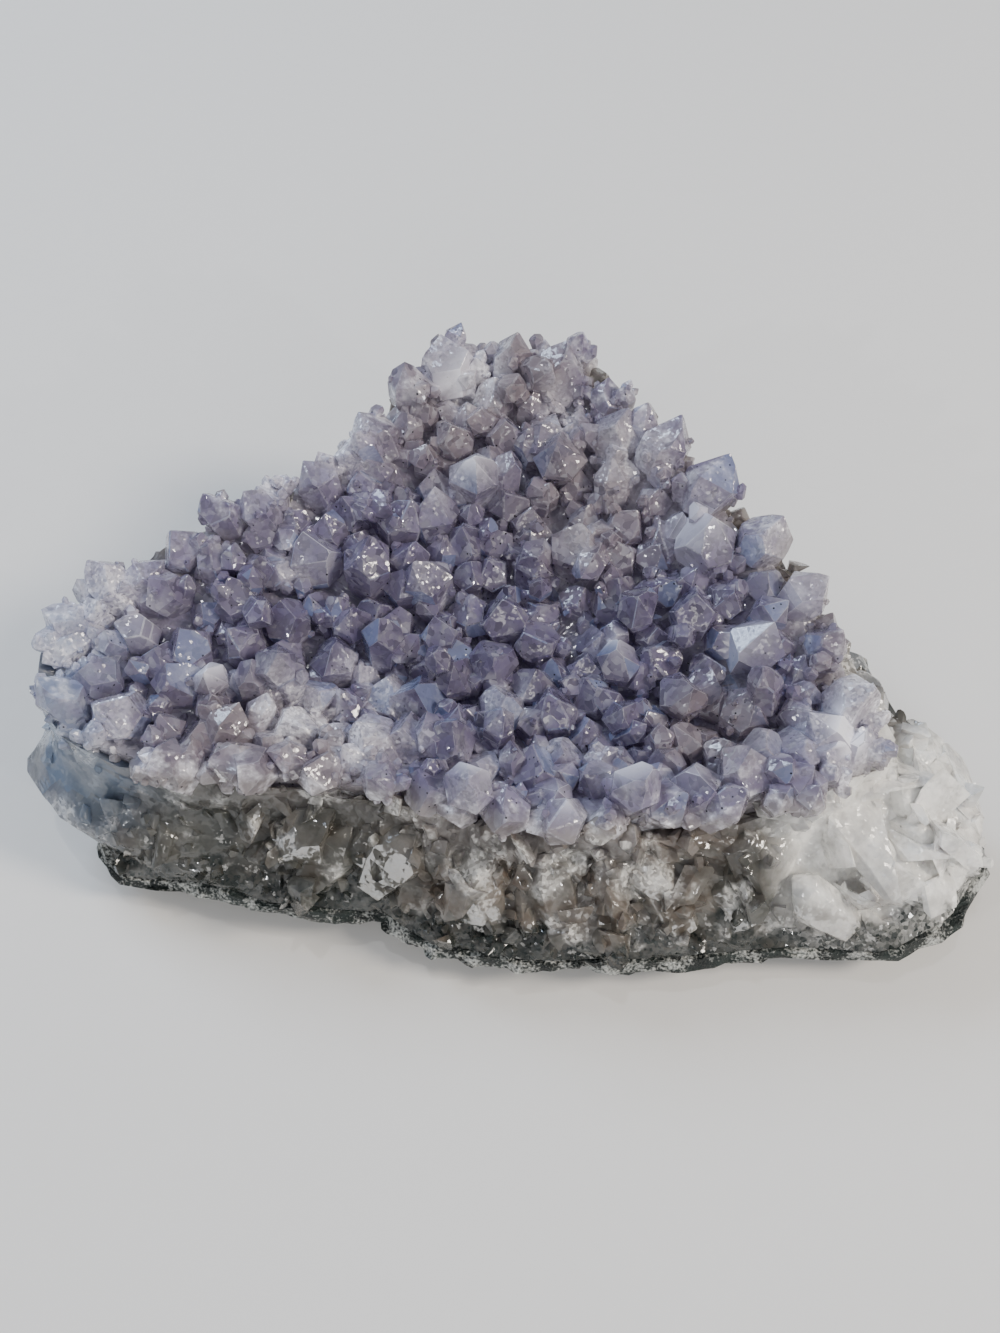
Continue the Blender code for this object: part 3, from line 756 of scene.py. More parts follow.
def quartz_finish(look):
    """Broken quartz: glassy grey, with milky veils and plates, dark crumbs near the basalt, painted
    shade low down and painted reflections inside.
    """
    material, nodes, place = finish("broken quartz")
    milk, smooth, height = nodes.mark("milk"), nodes.mark("smooth"), nodes.mark("height")
    tone, edge = nodes.mark("tone"), nodes.mark("edge")
    flake = nodes.cells(refracted(nodes, place, 1.8), 1.3, output="Color")
    grain = nodes.cells(place, 0.42, output="Color")
    stains = nodes.noise(place, 7.0, 2).between(0.4, 0.62)
    clouds = nodes.noise(place, 2.6, 4).between(0.4, 0.62)
    fine, light = part(nodes, grain, 0), part(nodes, flake, 2).between(0.55, 1.0)
    colour = nodes.mix(stains, look.glass_colour, look.smoky_colour)
    # Painted dark reflections inside, in cells that jump from face to face, with a tone for each
    # patch.
    colour = nodes.mix(tone * 0.25 + part(nodes, flake, 0) ** 2 * 0.45, colour, look.green_colour)
    # Painted highlights on the worn edges, and painted bright reflections in the flakes inside; the
    # clouds are milky veils.
    edge_glints_and_bright_flakes = nodes.maths("MAXIMUM", light * clouds * 0.6, edge * fine * 0.4)
    colour = nodes.mix(nodes.maths("MAXIMUM", clouds * 0.35, edge_glints_and_bright_flakes), colour, look.milk_colour)
    # Lighter and warmer towards the top: warm grey quartz, lifted by painted light against the shade
    # under the carpet's edge.
    colour = nodes.mix(height.between(0.5, 1.0) * (0.2 + 0.4 * clouds), colour, look.top_colour)
    # Painted shade: darker and greener towards the bottom and in the shade spots.
    shaded = nodes.maths("MAXIMUM", height.between(0.45, 0.05) * 0.5, nodes.mark("dark") * 0.6)
    colour = nodes.mix(shaded, colour, look.green_colour)
    milk = milk * (0.74 + 0.3 * clouds)
    colour = nodes.mix(milk, colour, look.plate_colour)
    sugar = (nodes.noise(place, 4.6, 4) + 0.04 * height).between(0.55, 0.67) * (0.2 + 0.8 * fine)
    colour = nodes.mix(sugar * 0.65, colour, look.plate_colour)
    colour = nodes.mix(smooth * (0.4 + 0.3 * stains + 0.2 * tone), colour, look.smooth_colour)
    crumbs = (height.between(0.4, -0.05) + nodes.noise(place, 3.0, 3) * 1.6).between(1.1, 1.3)
    colour = nodes.mix(crumbs * (0.4 + 0.6 * fine), colour, look.crumb_colour)
    frosted = nodes.maths("MAXIMUM", sugar, nodes.maths("MAXIMUM", clouds * 0.3, milk * 0.6))
    normal = nodes.add("ShaderNodeNewGeometry", output="Normal")
    normal = bent(nodes, normal, flake, 0.4 - 0.15 * smooth)
    normal = bent(nodes, normal, grain, (0.12 + 0.6 * frosted) * (1 - smooth * 0.4))
    whiter = nodes.maths("MAXIMUM", milk * 0.8, sugar)
    roughness = 0.11 + 0.12 * frosted + 0.1 * smooth
    surfaced(nodes, crystalline(nodes, colour, roughness, normal, whiter, look))
    return material


def basalt_finish(look):
    """Dull green-black rock, mottled with pale crumbs of quartz."""
    material, nodes, place = finish("speckled basalt")
    patches = nodes.noise(place, 3.5, 4).between(0.42, 0.62)
    colour = nodes.mix(patches, look.dark_colour, look.green_colour)
    fine = nodes.noise(place, 0.35, 3)
    mottled = (fine * 0.8 + nodes.noise(place, 3.2, 5) * 1.2).between(0.98, 1.22)
    colour = nodes.mix(mottled, colour, look.speckle_colour)
    bump = nodes.add("ShaderNodeBump", None, {
        "Strength": 1.0, "Distance": 0.4 * MM, "Height": fine + nodes.noise(place, 1.4, 4),
    })
    shader = nodes.add("ShaderNodeBsdfPrincipled", None, {
        "Base Color": colour, "Roughness": 0.35 + 0.35 * patches,
        "Normal": bent(nodes, bump, nodes.cells(place, 0.5, output="Color"), 0.3),
        "Specular IOR Level": 0.45,
    })
    surfaced(nodes, shader)
    return material


def floor_finish(look):
    """Plain matt paint with a trace of grain."""
    material, nodes, place = finish("plain floor")
    grain = nodes.noise(place, 3, 3)
    colour = nodes.mix(grain * 0.06, look.floor_colour, (0.5, 0.48, 0.45))
    bump = nodes.add("ShaderNodeBump", None, {
        "Strength": 0.05, "Distance": 0.1 * MM, "Height": grain,
    })
    shader = nodes.add("ShaderNodeBsdfPrincipled", None, {
        "Base Color": colour, "Roughness": 0.6 + 0.1 * grain, "Normal": bump,
        "Specular IOR Level": 0.3,
    })
    surfaced(nodes, shader)
    return material


def sprouting_tree():
    """Shapes on a shelf and small ones that sprout from a base, all joined into one closed body."""
    tree = bpy.data.node_groups.new("sprouting", "GeometryNodeTree")
    tree.interface.new_socket("Mesh", in_out="OUTPUT", socket_type="NodeSocketGeometry")
    for label, kind in (
        ("Base", "Geometry"), ("Ground", "Object"), ("Standing", "Collection"),
        ("Sprouts", "Collection"), ("Kinds", "Int"), ("Spacing", "Float"), ("Smallest", "Float"),
        ("Largest", "Float"), ("Outward", "Float"), ("Upright", "Float"), ("Along", "Float"),
        ("Scatter", "Float"),
        ("Near", "Float"), ("Far", "Float"), ("Far share", "Float"), ("Seed", "Int"),
        ("Finish", "Material"),
    ):
        tree.interface.new_socket(label, in_out="INPUT", socket_type="NodeSocket" + kind)
    nodes = Nodes(tree)
    given = nodes.add("NodeGroupInput")
    base = given.out("Base")
    spacing, seed = given.out("Spacing"), given.out("Seed")
    standing = shelf_copies(nodes, given.out("Standing"))
    grown = union(nodes, [base, standing])
    ground = nodes.add("GeometryNodeObjectInfo", None, {"Object": given.out("Ground")}, "Geometry")
    gap = nodes.add("GeometryNodeProximity", {"target_element": "FACES"}, {0: ground}, "Distance")
    outer, inner = given.out("Far"), given.out("Near")
    closeness = nodes.maths("DIVIDE", outer - gap, outer - inner, clamp=True)
    rest = given.out("Far share")
    carried = nodes.add("GeometryNodeInputNamedAttribute", {"data_type": "FLOAT"}, {0: "growth"})
    growth = nodes.add(
        "GeometryNodeSampleNearestSurface", {"data_type": "FLOAT"},
        {"Mesh": ground, "Value": carried},
    )
    spots = nodes.add(
        "GeometryNodeDistributePointsOnFaces", {"distribute_method": "POISSON"},
        {"Mesh": grown, "Distance Min": spacing, "Density Max": nodes.maths(
            "DIVIDE", 2.0, spacing * spacing),
         "Density Factor": growth * (rest + (1 - rest) * closeness), "Seed": seed},
    )
    normal = spots.out("Normal")
    scatter = random_value(nodes, "FLOAT_VECTOR", (-1, -1, -1), (1, 1, 1), seed + 1)
    up = nodes.add("ShaderNodeCombineXYZ", None, {"Z": 1.0})
    steepness = nodes.add("ShaderNodeVectorMath", {"operation": "DOT_PRODUCT"},
                          {0: up, 1: normal}, "Value")
    along = nodes.vector("SUBTRACT", up, nodes.scaled(normal, steepness))
    aim = nodes.scaled(normal, given.out("Outward"))
    aim = nodes.vector("ADD", aim, nodes.scaled(up, given.out("Upright")))
    aim = nodes.vector("ADD", aim, nodes.scaled(along, given.out("Along")))
    aim = nodes.vector("ADD", aim, nodes.scaled(scatter, given.out("Scatter")))
    spin = nodes.add("FunctionNodeAxisAngleToRotation", None, {
        "Axis": (0, 0, 1), "Angle": random_value(nodes, "FLOAT", 0.0, 6.28, seed + 2)})
    turned = nodes.add("FunctionNodeAlignRotationToVector", {"axis": "Z"},
                       {"Rotation": spin, "Vector": aim})
    draw = random_value(nodes, "FLOAT", 0.0, 1.0, seed + 3) ** 1.8
    size = given.out("Smallest") + (given.out("Largest") - given.out("Smallest")) * draw
    kind = random_value(nodes, "INT", 0, given.out("Kinds") - 1, seed + 4)
    sprouts = nodes.add("GeometryNodeInstanceOnPoints", None, {
        "Points": spots, "Instance": shelf_copies(nodes, given.out("Sprouts")),
        "Pick Instance": True, "Instance Index": kind, "Rotation": turned, "Scale": size,
    })
    whole = union(nodes, [grown, sprouts])
    whole = nodes.add("GeometryNodeRealizeInstances", None, {"Geometry": whole})
    whole = nodes.add("GeometryNodeSetMaterial", None,
                      {"Geometry": whole, "Material": given.out("Finish")})
    nodes.add("NodeGroupOutput", None, {"Mesh": whole})
    return tree


def shelf_copies(nodes, held):
    """Each shape of a collection as a copy of its own."""
    return nodes.add(
        "GeometryNodeCollectionInfo", None, {"Collection": held, "Separate Children": True}
    )


def union(nodes, parts):
    """Closed meshes and copies joined into one closed surface."""
    settings = {"operation": "UNION", "solver": "MANIFOLD"}
    return nodes.add("GeometryNodeMeshBoolean", settings, {"Mesh": parts})


def random_value(nodes, kind, low, high, seed):
    """A value drawn for each point between two bounds."""
    at = {"FLOAT_VECTOR": 0, "FLOAT": 2, "INT": 4}[kind]
    output = {"FLOAT_VECTOR": 0, "FLOAT": 1, "INT": 2}[kind]
    sockets = {at: low, at + 1: high, "Seed": seed}
    return nodes.add("FunctionNodeRandomValue", {"data_type": kind}, sockets, output)


def sprouted(base, tree, values):
    """Runs the tree on a piece and keeps what grows as the piece's plain mesh."""
    step = base.modifiers.new("sprouting", "NODES")
    step.node_group = tree
    for socket in tree.interface.items_tree:
        if socket.in_out == "INPUT" and socket.name in values:
            step[socket.identifier] = values[socket.name]
    bpy.context.view_layer.update()
    graph = bpy.context.evaluated_depsgraph_get()
    made = bpy.data.meshes.new_from_object(base.evaluated_get(graph))
    base.modifiers.remove(step)
    base.data = made


def carry(piece, looks):
    """Writes values worked out at each point, in millimetres, as marks that a material reads."""
    rows = [looks(vert.co / MM - SHIFT) for vert in piece.data.vertices]
    for name in rows[0]:
        layer = piece.data.attributes.new(name, "FLOAT", "POINT")
        layer.data.foreach_set("value", [row[name] for row in rows])


def softened(piece):
    """Shades shallow edges as round and keeps the others sharp."""
    piece.data.shade_smooth()
    piece.data.set_sharp_from_angle(angle=math.radians(SMOOTH_ANGLE))


def cleaned(piece):
    """Keeps a piece's outer surface alone, and drops edges with no length."""
    mesh = bmesh.new()
    mesh.from_mesh(piece.data)
    inner = [vert for shell in sorted(shells_of(mesh), key=len)[:-1] for vert in shell]
    bmesh.ops.delete(mesh, geom=inner, context="VERTS")
    bmesh.ops.dissolve_degenerate(mesh, edges=mesh.edges, dist=SLIVER * MM)
    mesh.to_mesh(piece.data)
    mesh.free()


def shells_of(mesh):
    """The vertices of each closed surface in a mesh."""
    left = set(mesh.verts)
    shells = []
    while left:
        reached = {left.pop()}
        shell = set(reached)
        while reached:
            near = {edge.other_vert(vert) for vert in reached for edge in vert.link_edges}
            reached = near - shell
            shell |= reached
        left -= shell
        shells.append(shell)
    return shells


def ready(piece, node, material):
    """Dresses a piece and sets it in the place of its solid."""
    piece.data.materials.clear()
    piece.data.materials.append(material)
    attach(piece, "root")
    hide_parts(node)


def colour_property(name, description, default):
    return FloatVectorProperty(
        name=name, description=description, default=default, size=3, min=0, max=1, subtype="COLOR"
    )


def length_property(name, description, default):
    """A length in millimetres, as its name says."""
    return FloatProperty(name=name + " (mm)", description=description, default=default, min=0)


class AmethystCarpetLook(bpy.types.PropertyGroup):
    """Sizes and colours of the crystal carpet."""

    edge_wear: length_property("Edge wear", "How far the points' edges are worn", 0.3)
    middle_spacing: length_property("Middle spacing", "Between the points that fill gaps", 2.1)
    middle_smallest: length_property("Smallest middle point", "Half width", 1.2)
    middle_largest: length_property("Largest middle point", "Half width", 2.5)
    druse_spacing: length_property("Druse spacing", "Between the finest points", 1.3)
    druse_smallest: length_property("Smallest druse point", "Half width", 0.35)
    druse_largest: length_property("Largest druse point", "Half width", 0.9)
    seed: IntProperty(name="Seed", description="Another draw of the small points", default=5)
    clearness: FloatProperty(
        name="Clearness", description="How see-through the crystal is", default=0.5,
        min=0, max=1, subtype="FACTOR",
    )
    milkiness: FloatProperty(
        name="Milkiness", description="How much light wanders inside", default=0.35,
        min=0, max=1, subtype="FACTOR",
    )
    glow: length_property("Glow", "How far light wanders inside", 1.5)
    density: FloatProperty(
        name="Colour depth", description="Light taken per metre of crystal", default=70, min=0
    )
    absorbed_colour: colour_property("Inside", "What light passes", (0.72, 0.62, 0.86))
    deep_colour: colour_property("Deep lilac", "The darkest points", (0.12, 0.096, 0.19))
    main_colour: colour_property("Lilac", "Most points", (0.41, 0.355, 0.54))
    grey_colour: colour_property("Grey", "Clouds in the points", (0.34, 0.315, 0.385))
    warm_colour: colour_property("Warm grey", "Near the apex", (0.45, 0.375, 0.37))
    clear_highlight_colour: colour_property("Clear", "The large clean points", (0.78, 0.76, 0.90))
    dark_reflection_colour: colour_property("Dark", "Dark reflections inside", (0.055, 0.045, 0.085))
    root_and_fill_light_colour: colour_property("Roots", "The milky feet of the points", (0.34, 0.305, 0.41))
    cool_colour: colour_property("Cool blue", "Reflections of the sky", (0.27, 0.35, 0.60))
    edge_colour: colour_property("Edge", "Where the carpet meets the quartz", (0.42, 0.38, 0.37))
    white_colour: colour_property("White", "Frosted points and the rim", (0.93, 0.92, 0.98))
    sky_reflection_colour: colour_property("Icy", "Next to the smooth end", (0.38, 0.47, 0.66))
    speck_colour: colour_property("Specks", "Tiny dark grains", (0.01, 0.01, 0.012))


class BrokenQuartzLook(bpy.types.PropertyGroup):
    """Sizes and colours of the quartz bed."""

    plate_smallest: length_property("Smallest plate", "Its width", 3.0)
    plate_largest: length_property("Largest plate", "Its width", 7.5)
    shard_spacing: length_property("Shard spacing", "Between broken columns", 2.6)
    shard_smallest: length_property("Smallest shard", "Its width", 1.3)
    shard_largest: length_property("Largest shard", "Its width", 3.4)
    chip_spacing: length_property("Chip spacing", "Between small chips", 1.7)
    chip_smallest: length_property("Smallest chip", "Its width", 0.5)
    chip_largest: length_property("Largest chip", "Its width", 1.5)
    seed: IntProperty(name="Seed", description="Another draw of the chips", default=8)
    clearness: FloatProperty(
        name="Clearness", description="How see-through the quartz is", default=0.35,
        min=0, max=1, subtype="FACTOR",
    )
    milkiness: FloatProperty(
        name="Milkiness", description="How much light wanders inside", default=0.35,
        min=0, max=1, subtype="FACTOR",
    )
    glow: length_property("Glow", "How far light wanders inside", 2.0)
    glass_colour: colour_property("Glass", "Clear grey quartz", (0.15, 0.14, 0.13))
    smoky_colour: colour_property("Smoky", "Brownish parts", (0.20, 0.148, 0.11))
    green_colour: colour_property("Greenish", "Near the basalt", (0.062, 0.07, 0.062))
    milk_colour: colour_property("Veils", "Milky veils", (0.43, 0.41, 0.375))
    top_colour: colour_property("Top", "Under the carpet", (0.46, 0.41, 0.395))
    plate_colour: colour_property("Plates", "The broad milky end", (0.96, 0.945, 0.90))
    smooth_colour: colour_property("Chalcedony", "The smooth end", (0.19, 0.265, 0.39))
    crumb_colour: colour_property("Crumbs", "Dark crumbs at the foot", (0.02, 0.028, 0.026))


class BasaltRindLook(bpy.types.PropertyGroup):
    """Sizes and colours of the rind."""

    roughness: length_property("Roughness", "How far its broken faces stand out", 0.9)
    dark_colour: colour_property("Dark", "Most of the rock", (0.006, 0.010, 0.0095))
    green_colour: colour_property("Green", "Patches", (0.022, 0.032, 0.029))
    speckle_colour: colour_property("Speckles", "Crumbs of quartz", (0.55, 0.56, 0.53))


class StageLook(bpy.types.PropertyGroup):
    """The floor and the light."""

    floor_width: FloatProperty(
        name="Floor", description="Width of the floor", default=3, unit="LENGTH"
    )
    floor_colour: colour_property("Floor colour", "Plain and pale", (0.82, 0.80, 0.77))
    light: FloatProperty(name="Light", description="Strength of all lamps", default=1.0, min=0)
    sky_colour: colour_property("Sky", "The light from all sides", (0.82, 0.86, 0.93))
    sky_strength: FloatProperty(
        name="Sky strength", description="Light from all sides", default=0.42, min=0
    )


def look_of(name):
    return getattr(bpy.context.scene, name)


def fine_crust():
    """The crust as it is seen: with a lumpy side."""
    side = []
    for share in (0.9, 0.6, 0.3, 0.05):

        def ring(bearing, share=share):
            point = disc(RIM, 1, crust_underside)(bearing)
            top = disc(RIM, 1, bed_height)(bearing)
            mid = point.lerp(top, share)
            swell = 1 + (0.5 + 0.8 * rough(mid.x, mid.y, mid.z, 3, 4)) / mid.xy.length
            return Vector((mid.x * swell, mid.y * swell, mid.z))

        side.append(ring)
    rings = [disc(RIM, share, bed_height) for share in (0.12, 0.25, 0.4, 0.55, 0.7, 0.85, 0.96)]
    rings += side
    rings += [disc(RIM, share, crust_underside) for share in (0.96, 0.6, 0.3)]
    return polar_mesh(rings, 144)


def standing_points(edge):
    """Every large crystal in its place, and its axis as (foot, tip) in millimetres."""
    rings = [disc(RIM, share, bed_height) for share in TOP_RINGS]
    rings += [disc(RIM, share, crust_underside) for share in reversed(SEAM_RINGS)]
    plate = object_of("plate", polar_mesh(rings))
    meshes, axes = [], []
    for seed, (x, y, half, rise, lean, bearing) in enumerate(all_points()):
        above = (Vector((x, y, 100)) + SHIFT) * MM
        found, place, *_ = plate.ray_cast(above, Vector((0, 0, -1)))
        if not found:
            raise ValueError("a crystal stands off the crust")
        place = place / MM - SHIFT - Vector((0, 0, SUNK))
        axis = leaning(x, y, lean, bearing)
        mesh = crystal(half, rise + SUNK, seed, root=0.5, edge=edge)
        mesh.transform(placed(place, axis, math.radians(seed * 37)))
        meshes.append(mesh)
        axes.append((place, place + axis.normalized() * (rise + SUNK)))
    bpy.data.objects.remove(plate)
    return meshes, axes


class AMETHYST_OT_carpet(bpy.types.Operator):
    """Grow the carpet of amethyst points"""

    bl_idname = "amethyst.carpet"
    bl_label = "Crystal carpet"

    def execute(self, context):
        look = look_of("amethyst_carpet_look")
        material = amethyst_finish(look)
        piece = object_of("amethyst_carpet", toned(fine_crust(), 2.5))
        ground = ground_of(piece, carpet_growth)
        meshes, axes = standing_points(look.edge_wear)
        standing = shelf("standing points", meshes, True)
        middle = shelf("middle points", [
            small_point(seed, 1.3 + 0.35 * (seed % 4), 0.1) for seed in range(MIDDLE_KINDS)
        ])
        druse = shelf("druse points", [
            small_point(seed + 50, 1.5 + 0.3 * (seed % 3), 0) for seed in range(DRUSE_KINDS)
        ])
        tree = sprouting_tree()
        sprouted(piece, tree, {
            "Ground": ground, "Standing": standing, "Sprouts": middle, "Kinds": MIDDLE_KINDS,
            "Spacing": look.middle_spacing * MM, "Smallest": look.middle_smallest,
            "Largest": look.middle_largest, "Outward": 0.4, "Upright": 1.0, "Scatter": 0.8,
            "Near": 0.8 * MM, "Far": 2.6 * MM, "Far share": 0.0,
            "Seed": look.seed, "Finish": material,
        })
        sprouted(piece, tree, {
            "Ground": ground, "Sprouts": druse, "Kinds": DRUSE_KINDS,
            "Spacing": look.druse_spacing * MM, "Smallest": look.druse_smallest,
            "Largest": look.druse_largest, "Outward": 0.6, "Upright": 0.9, "Scatter": 0.6,
            "Near": 0.8 * MM, "Far": 3.5 * MM, "Far share": 0.02,
            "Seed": look.seed + 10, "Finish": material,
        })
        for held in (standing, middle, druse):
            cleared(held)
        bpy.data.objects.remove(ground)
        cleaned(piece)
        carry(piece, carpet_looks(axes))
        ready(piece, "amethyst_crystals", material)
        return {"FINISHED"}


def ground_of(piece, growth):
    """A copy of a piece before anything grows on it, which marks how thickly things grow there."""
    ground = bpy.data.objects.new("ground", piece.data.copy())
    layer = ground.data.attributes.new("growth", "FLOAT", "POINT")
    layer.data.foreach_set("value", [growth(vert.co / MM - SHIFT) for vert in ground.data.vertices])
    return ground


def carpet_growth(point):
    """How thickly small points stand on the crust: nowhere below, and in patches above."""
    x, y, z = point
    if z < crust_underside(x, y) + 2.2:
        return 0
    patch = 0.35 + 1.5 * rough(x, y, 0, 7, 40)
    crowded = min(1, max(0.2, patch, 1.5 * pale_share(x, y), (share_of_rim(x, y) - 0.8) * 2.5))
    return crowded * (1 - min(1, 2.5 * nearness(x, y, CLEAR_SPOTS)))


def pale_share(x, y):
    """How pale the carpet is at a place: frosted, and in a few spots painted light."""
    return max(
        0, *((1 - math.dist((x, y), (a, b)) / size) * force for a, b, size, force in PALE_SPOTS)
    )


def nearness(x, y, spots):
    """1 in the middle of a spot, 0 away from them all."""
    return max(0, *(1 - math.dist((x, y), (a, b)) / size for a, b, size in spots))


def small_point(seed, slenderness, edge):
    """A point with a half width of 1 mm, its foot sunk below the origin, as metres."""
    return in_metres(crystal(1, slenderness + 0.8, seed, root=0.6, edge=edge), -0.8)


def in_metres(mesh, lift=0.0):
    """A small shape, lifted by a share of its width and turned from millimetres to metres."""
    bmesh.ops.translate(mesh, verts=mesh.verts, vec=(0, 0, lift))
    mesh.transform(Matrix.Scale(MM, 4))
    return mesh


def carpet_looks(axes):
    """What the amethyst's material reads at a point, from the crystal that it belongs to."""
    spots = [(foot.lerp(tip, part / 4), number) for number, (foot, tip) in enumerate(axes)
             for part in range(5)]
    near = kdtree.KDTree(len(spots))
    for spot, number in spots:
        near.insert(spot, number)
    near.balance()
    draws = [random.Random(900 + number) for number in range(len(axes))]
    tints = [draw.betavariate(2, 2) for draw in draws]
    frost = [draw.random() for draw in draws]

    def looks(point):
        number = near.find(point)[1]
        x, y = point.x, point.y
        share = share_of_rim(x, y)
        rim = min(1, max(0, (share - 0.86) / 0.16))
        pale = min(1, max(1.8 * pale_share(x, y), 0.5 * (frost[number] > 0.93)))
        rise = (point.z - bed_height(x, y)) / 6
        return {
            # tint: a random tone for each crystal, darker towards the middle of the hollow.
            "tint": 0.4 * tints[number] + 0.6 * min(1, share), "rim": rim, "pale": pale,
            "rise": rise, "warm": min(1, 1.6 * nearness(x, y, WARM_SPOTS)),
            "clear": min(1, 4 * nearness(x, y, CLEAR_SPOTS)) * min(1, max(0, 3 * rise)),
            "icy": min(1, 1.5 * nearness(x, y, SKY_REFLECTION_SPOTS)),
        }

    return looks


class AMETHYST_OT_quartz(bpy.types.Operator):
    """Build the broken quartz under the carpet"""

    bl_idname = "amethyst.quartz"
    bl_label = "Broken quartz"

    def execute(self, context):
        look = look_of("broken_quartz_look")
        material = quartz_finish(look)
        piece = object_of("broken_quartz", toned(broken_bed(), 4))
        ground = ground_of(piece, chip_growth)
        milky_ground = ground_of(piece, plate_growth)
        shard_ground = ground_of(piece, shard_growth)
        standing = shelf("columns", columns(), True)
        shelves = [
            shelf("plates", [in_metres(chunk(seed + 30, 0.2)) for seed in range(SHARD_KINDS)]),
            shelf("shards", [
                in_metres(broken_column(seed, 1.1 + 0.3 * (seed % 4))) for seed in range(SHARD_KINDS)
            ]),
            shelf("chips", [
                in_metres(chunk(seed + 70, 0.9 + 0.4 * (seed % 3))) for seed in range(SHARD_KINDS)
            ]),
        ]
        plates, shards, chips = shelves
        tree = sprouting_tree()
        sprouted(piece, tree, {
            "Ground": milky_ground, "Standing": standing, "Sprouts": plates, "Kinds": SHARD_KINDS,
            "Spacing": 3.6 * MM, "Smallest": look.plate_smallest, "Largest": look.plate_largest,
            "Outward": 1.0, "Upright": 0.0, "Along": 0.1, "Scatter": 0.14,
            "Near": 1 * MM, "Far": 4 * MM, "Far share": 0.5,
            "Seed": look.seed + 20, "Finish": material,
        })
        sprouted(piece, tree, {
            "Ground": shard_ground, "Sprouts": shards, "Kinds": SHARD_KINDS,
            "Spacing": look.shard_spacing * MM, "Smallest": look.shard_smallest,
            "Largest": look.shard_largest, "Outward": 0.05, "Upright": 0.0, "Along": 1.0,
            "Scatter": 0.3, "Near": 0.4 * MM, "Far": 2.0 * MM, "Far share": 0.05,
            "Seed": look.seed, "Finish": material,
        })
        sprouted(piece, tree, {
            "Ground": ground, "Sprouts": chips, "Kinds": SHARD_KINDS,
            "Spacing": look.chip_spacing * MM, "Smallest": look.chip_smallest,
            "Largest": look.chip_largest, "Outward": 0.2, "Upright": 0.0, "Along": 0.6,
            "Scatter": 0.8, "Near": 0.6 * MM, "Far": 2.5 * MM, "Far share": 0.15,
            "Seed": look.seed + 10, "Finish": material,
        })
        for held in (standing, *shelves):
            cleared(held)
        for each in (ground, milky_ground, shard_ground):
            bpy.data.objects.remove(each)
        cleaned(piece)
        softened(piece)
        carry(piece, bed_looks)
        ready(piece, "quartz_bed", material)
        return {"FINISHED"}


def broken_bed():
    """The bed's body, with broken faces on its sides."""

    def side(share):
        def ring(bearing):
            point = wall(share)(bearing)
            turn = math.radians(bearing)
            out = Vector((math.cos(turn), math.sin(turn), 0))
            calm = smoothness(bearing)
            held = min(1, share / 0.12, (1 - share) / 0.05)
            chips = 1.5 * facets(point, 6, 11) + 0.6 * facets(point, 2.6, 5)
            lumps = 1.6 * rough(point.x, point.y, point.z, 7, 31)
            waves = 0.5 * rough(point.x, point.y, point.z, 6, 8)
            even = [wall(share)(bearing + 2 * step).xy.length for step in range(-2, 3)]
            waves += sum(even) / len(even) - point.xy.length + 0.3
            waves += 0.5 * rough(point.x, point.y, point.z, 2.5, 14) + 0.35 * chips
            move = held * ((1 - calm) * (0.7 * chips + lumps) + calm * waves)
            lip = max(0, share - 0.7) / 0.3
            climb = LIP_RISE * (0.55 + 0.9 * rough(point.x, point.y, 0, 8, 50) + 0.45 * calm)
            move += lip * (LIP_REACH + 0.6 * rough(point.x, point.y, 0, 4, 51))
            lift = Vector((0, 0, lip**2 * max(0, climb)))
            return point + out * (move - FOOT_INSET * max(0, 1 - share / 0.3)) + lift

        return ring

    rings = [disc(RIM, share, seam_height) for share in (0.3, 0.6, 0.9)]
    rings += [side(1 - step / WALL_STEPS) for step in range(WALL_STEPS + 1)]
    rings += [
        disc(FOOT, share, lambda x, y: rind_height(x, y) + LAYER_GAP) for share in (0.85, 0.6, 0.3)
    ]
    return polar_mesh(rings, 200)


def smoothness(bearing):
    """1 on the smooth end of the bed, 0 on its broken sides."""
    low, high = CHALCEDONY
    return min(1, max(0, min(bearing - low, high - bearing) / 8))


def bearing_of(x, y):
    return math.degrees(math.atan2(y, x)) % 360


def bed_growth(point):
    """How thickly chips stand on the bed at a point: on its sides, but not on its smooth end."""
    x, y, z = point
    low, high = rind_height(x, y) + LAYER_GAP, seam_height(x, y) + 2.5
    on_side = low + 0.9 < z < high and math.hypot(x, y) > 0.9 * reach(RIM, bearing_of(x, y))
    on_side = on_side and y + SHIFT.y < BACK_LIMIT
    calm = smoothness(bearing_of(x, y)) * min(1, max(0.7, (z - low) / 4))
    return (1 - 0.97 * calm) * float(on_side)


def milkiness(x, y):
    """1 in the middle of the broad milky end, 0 away from it."""
    return min(1, 2 * nearness(x, y, MILK_SPOTS))


def shade_share(x, y):
    """1 where the quartz takes painted shade and breaks in large pieces."""
    return min(1, 1.5 * nearness(x, y, SHADE_SPOTS))


def plate_growth(point):
    low = rind_height(point.x, point.y) + 3.5
    return bed_growth(point) * milkiness(point.x, point.y) * float(point.z > low)


def chip_growth(point):
    x, y, _ = point
    return bed_growth(point) * (1 - 0.6 * milkiness(x, y)) * (1 - 0.5 * shade_share(x, y))


def shard_growth(point):
    x, y, z = point
    thinned = (1 - 0.85 * milkiness(x, y)) * (1 - 0.6 * shade_share(x, y))
    return bed_growth(point) * thinned * float(z > rind_height(x, y) + 3.2)


def bed_looks(point):
    """What the quartz's material reads at a point."""
    x, y, z = point
    bearing = bearing_of(x, y)
    low = rind_height(x, y)
    return {
        "milk": milkiness(x, y), "dark": shade_share(x, y),
        "smooth": smoothness(bearing) * min(1, max(0, (z - low - 1.5 + 3 * rough(x, y, z, 4, 6)) / 4)),
        "height": (z - low) / 16,
    }


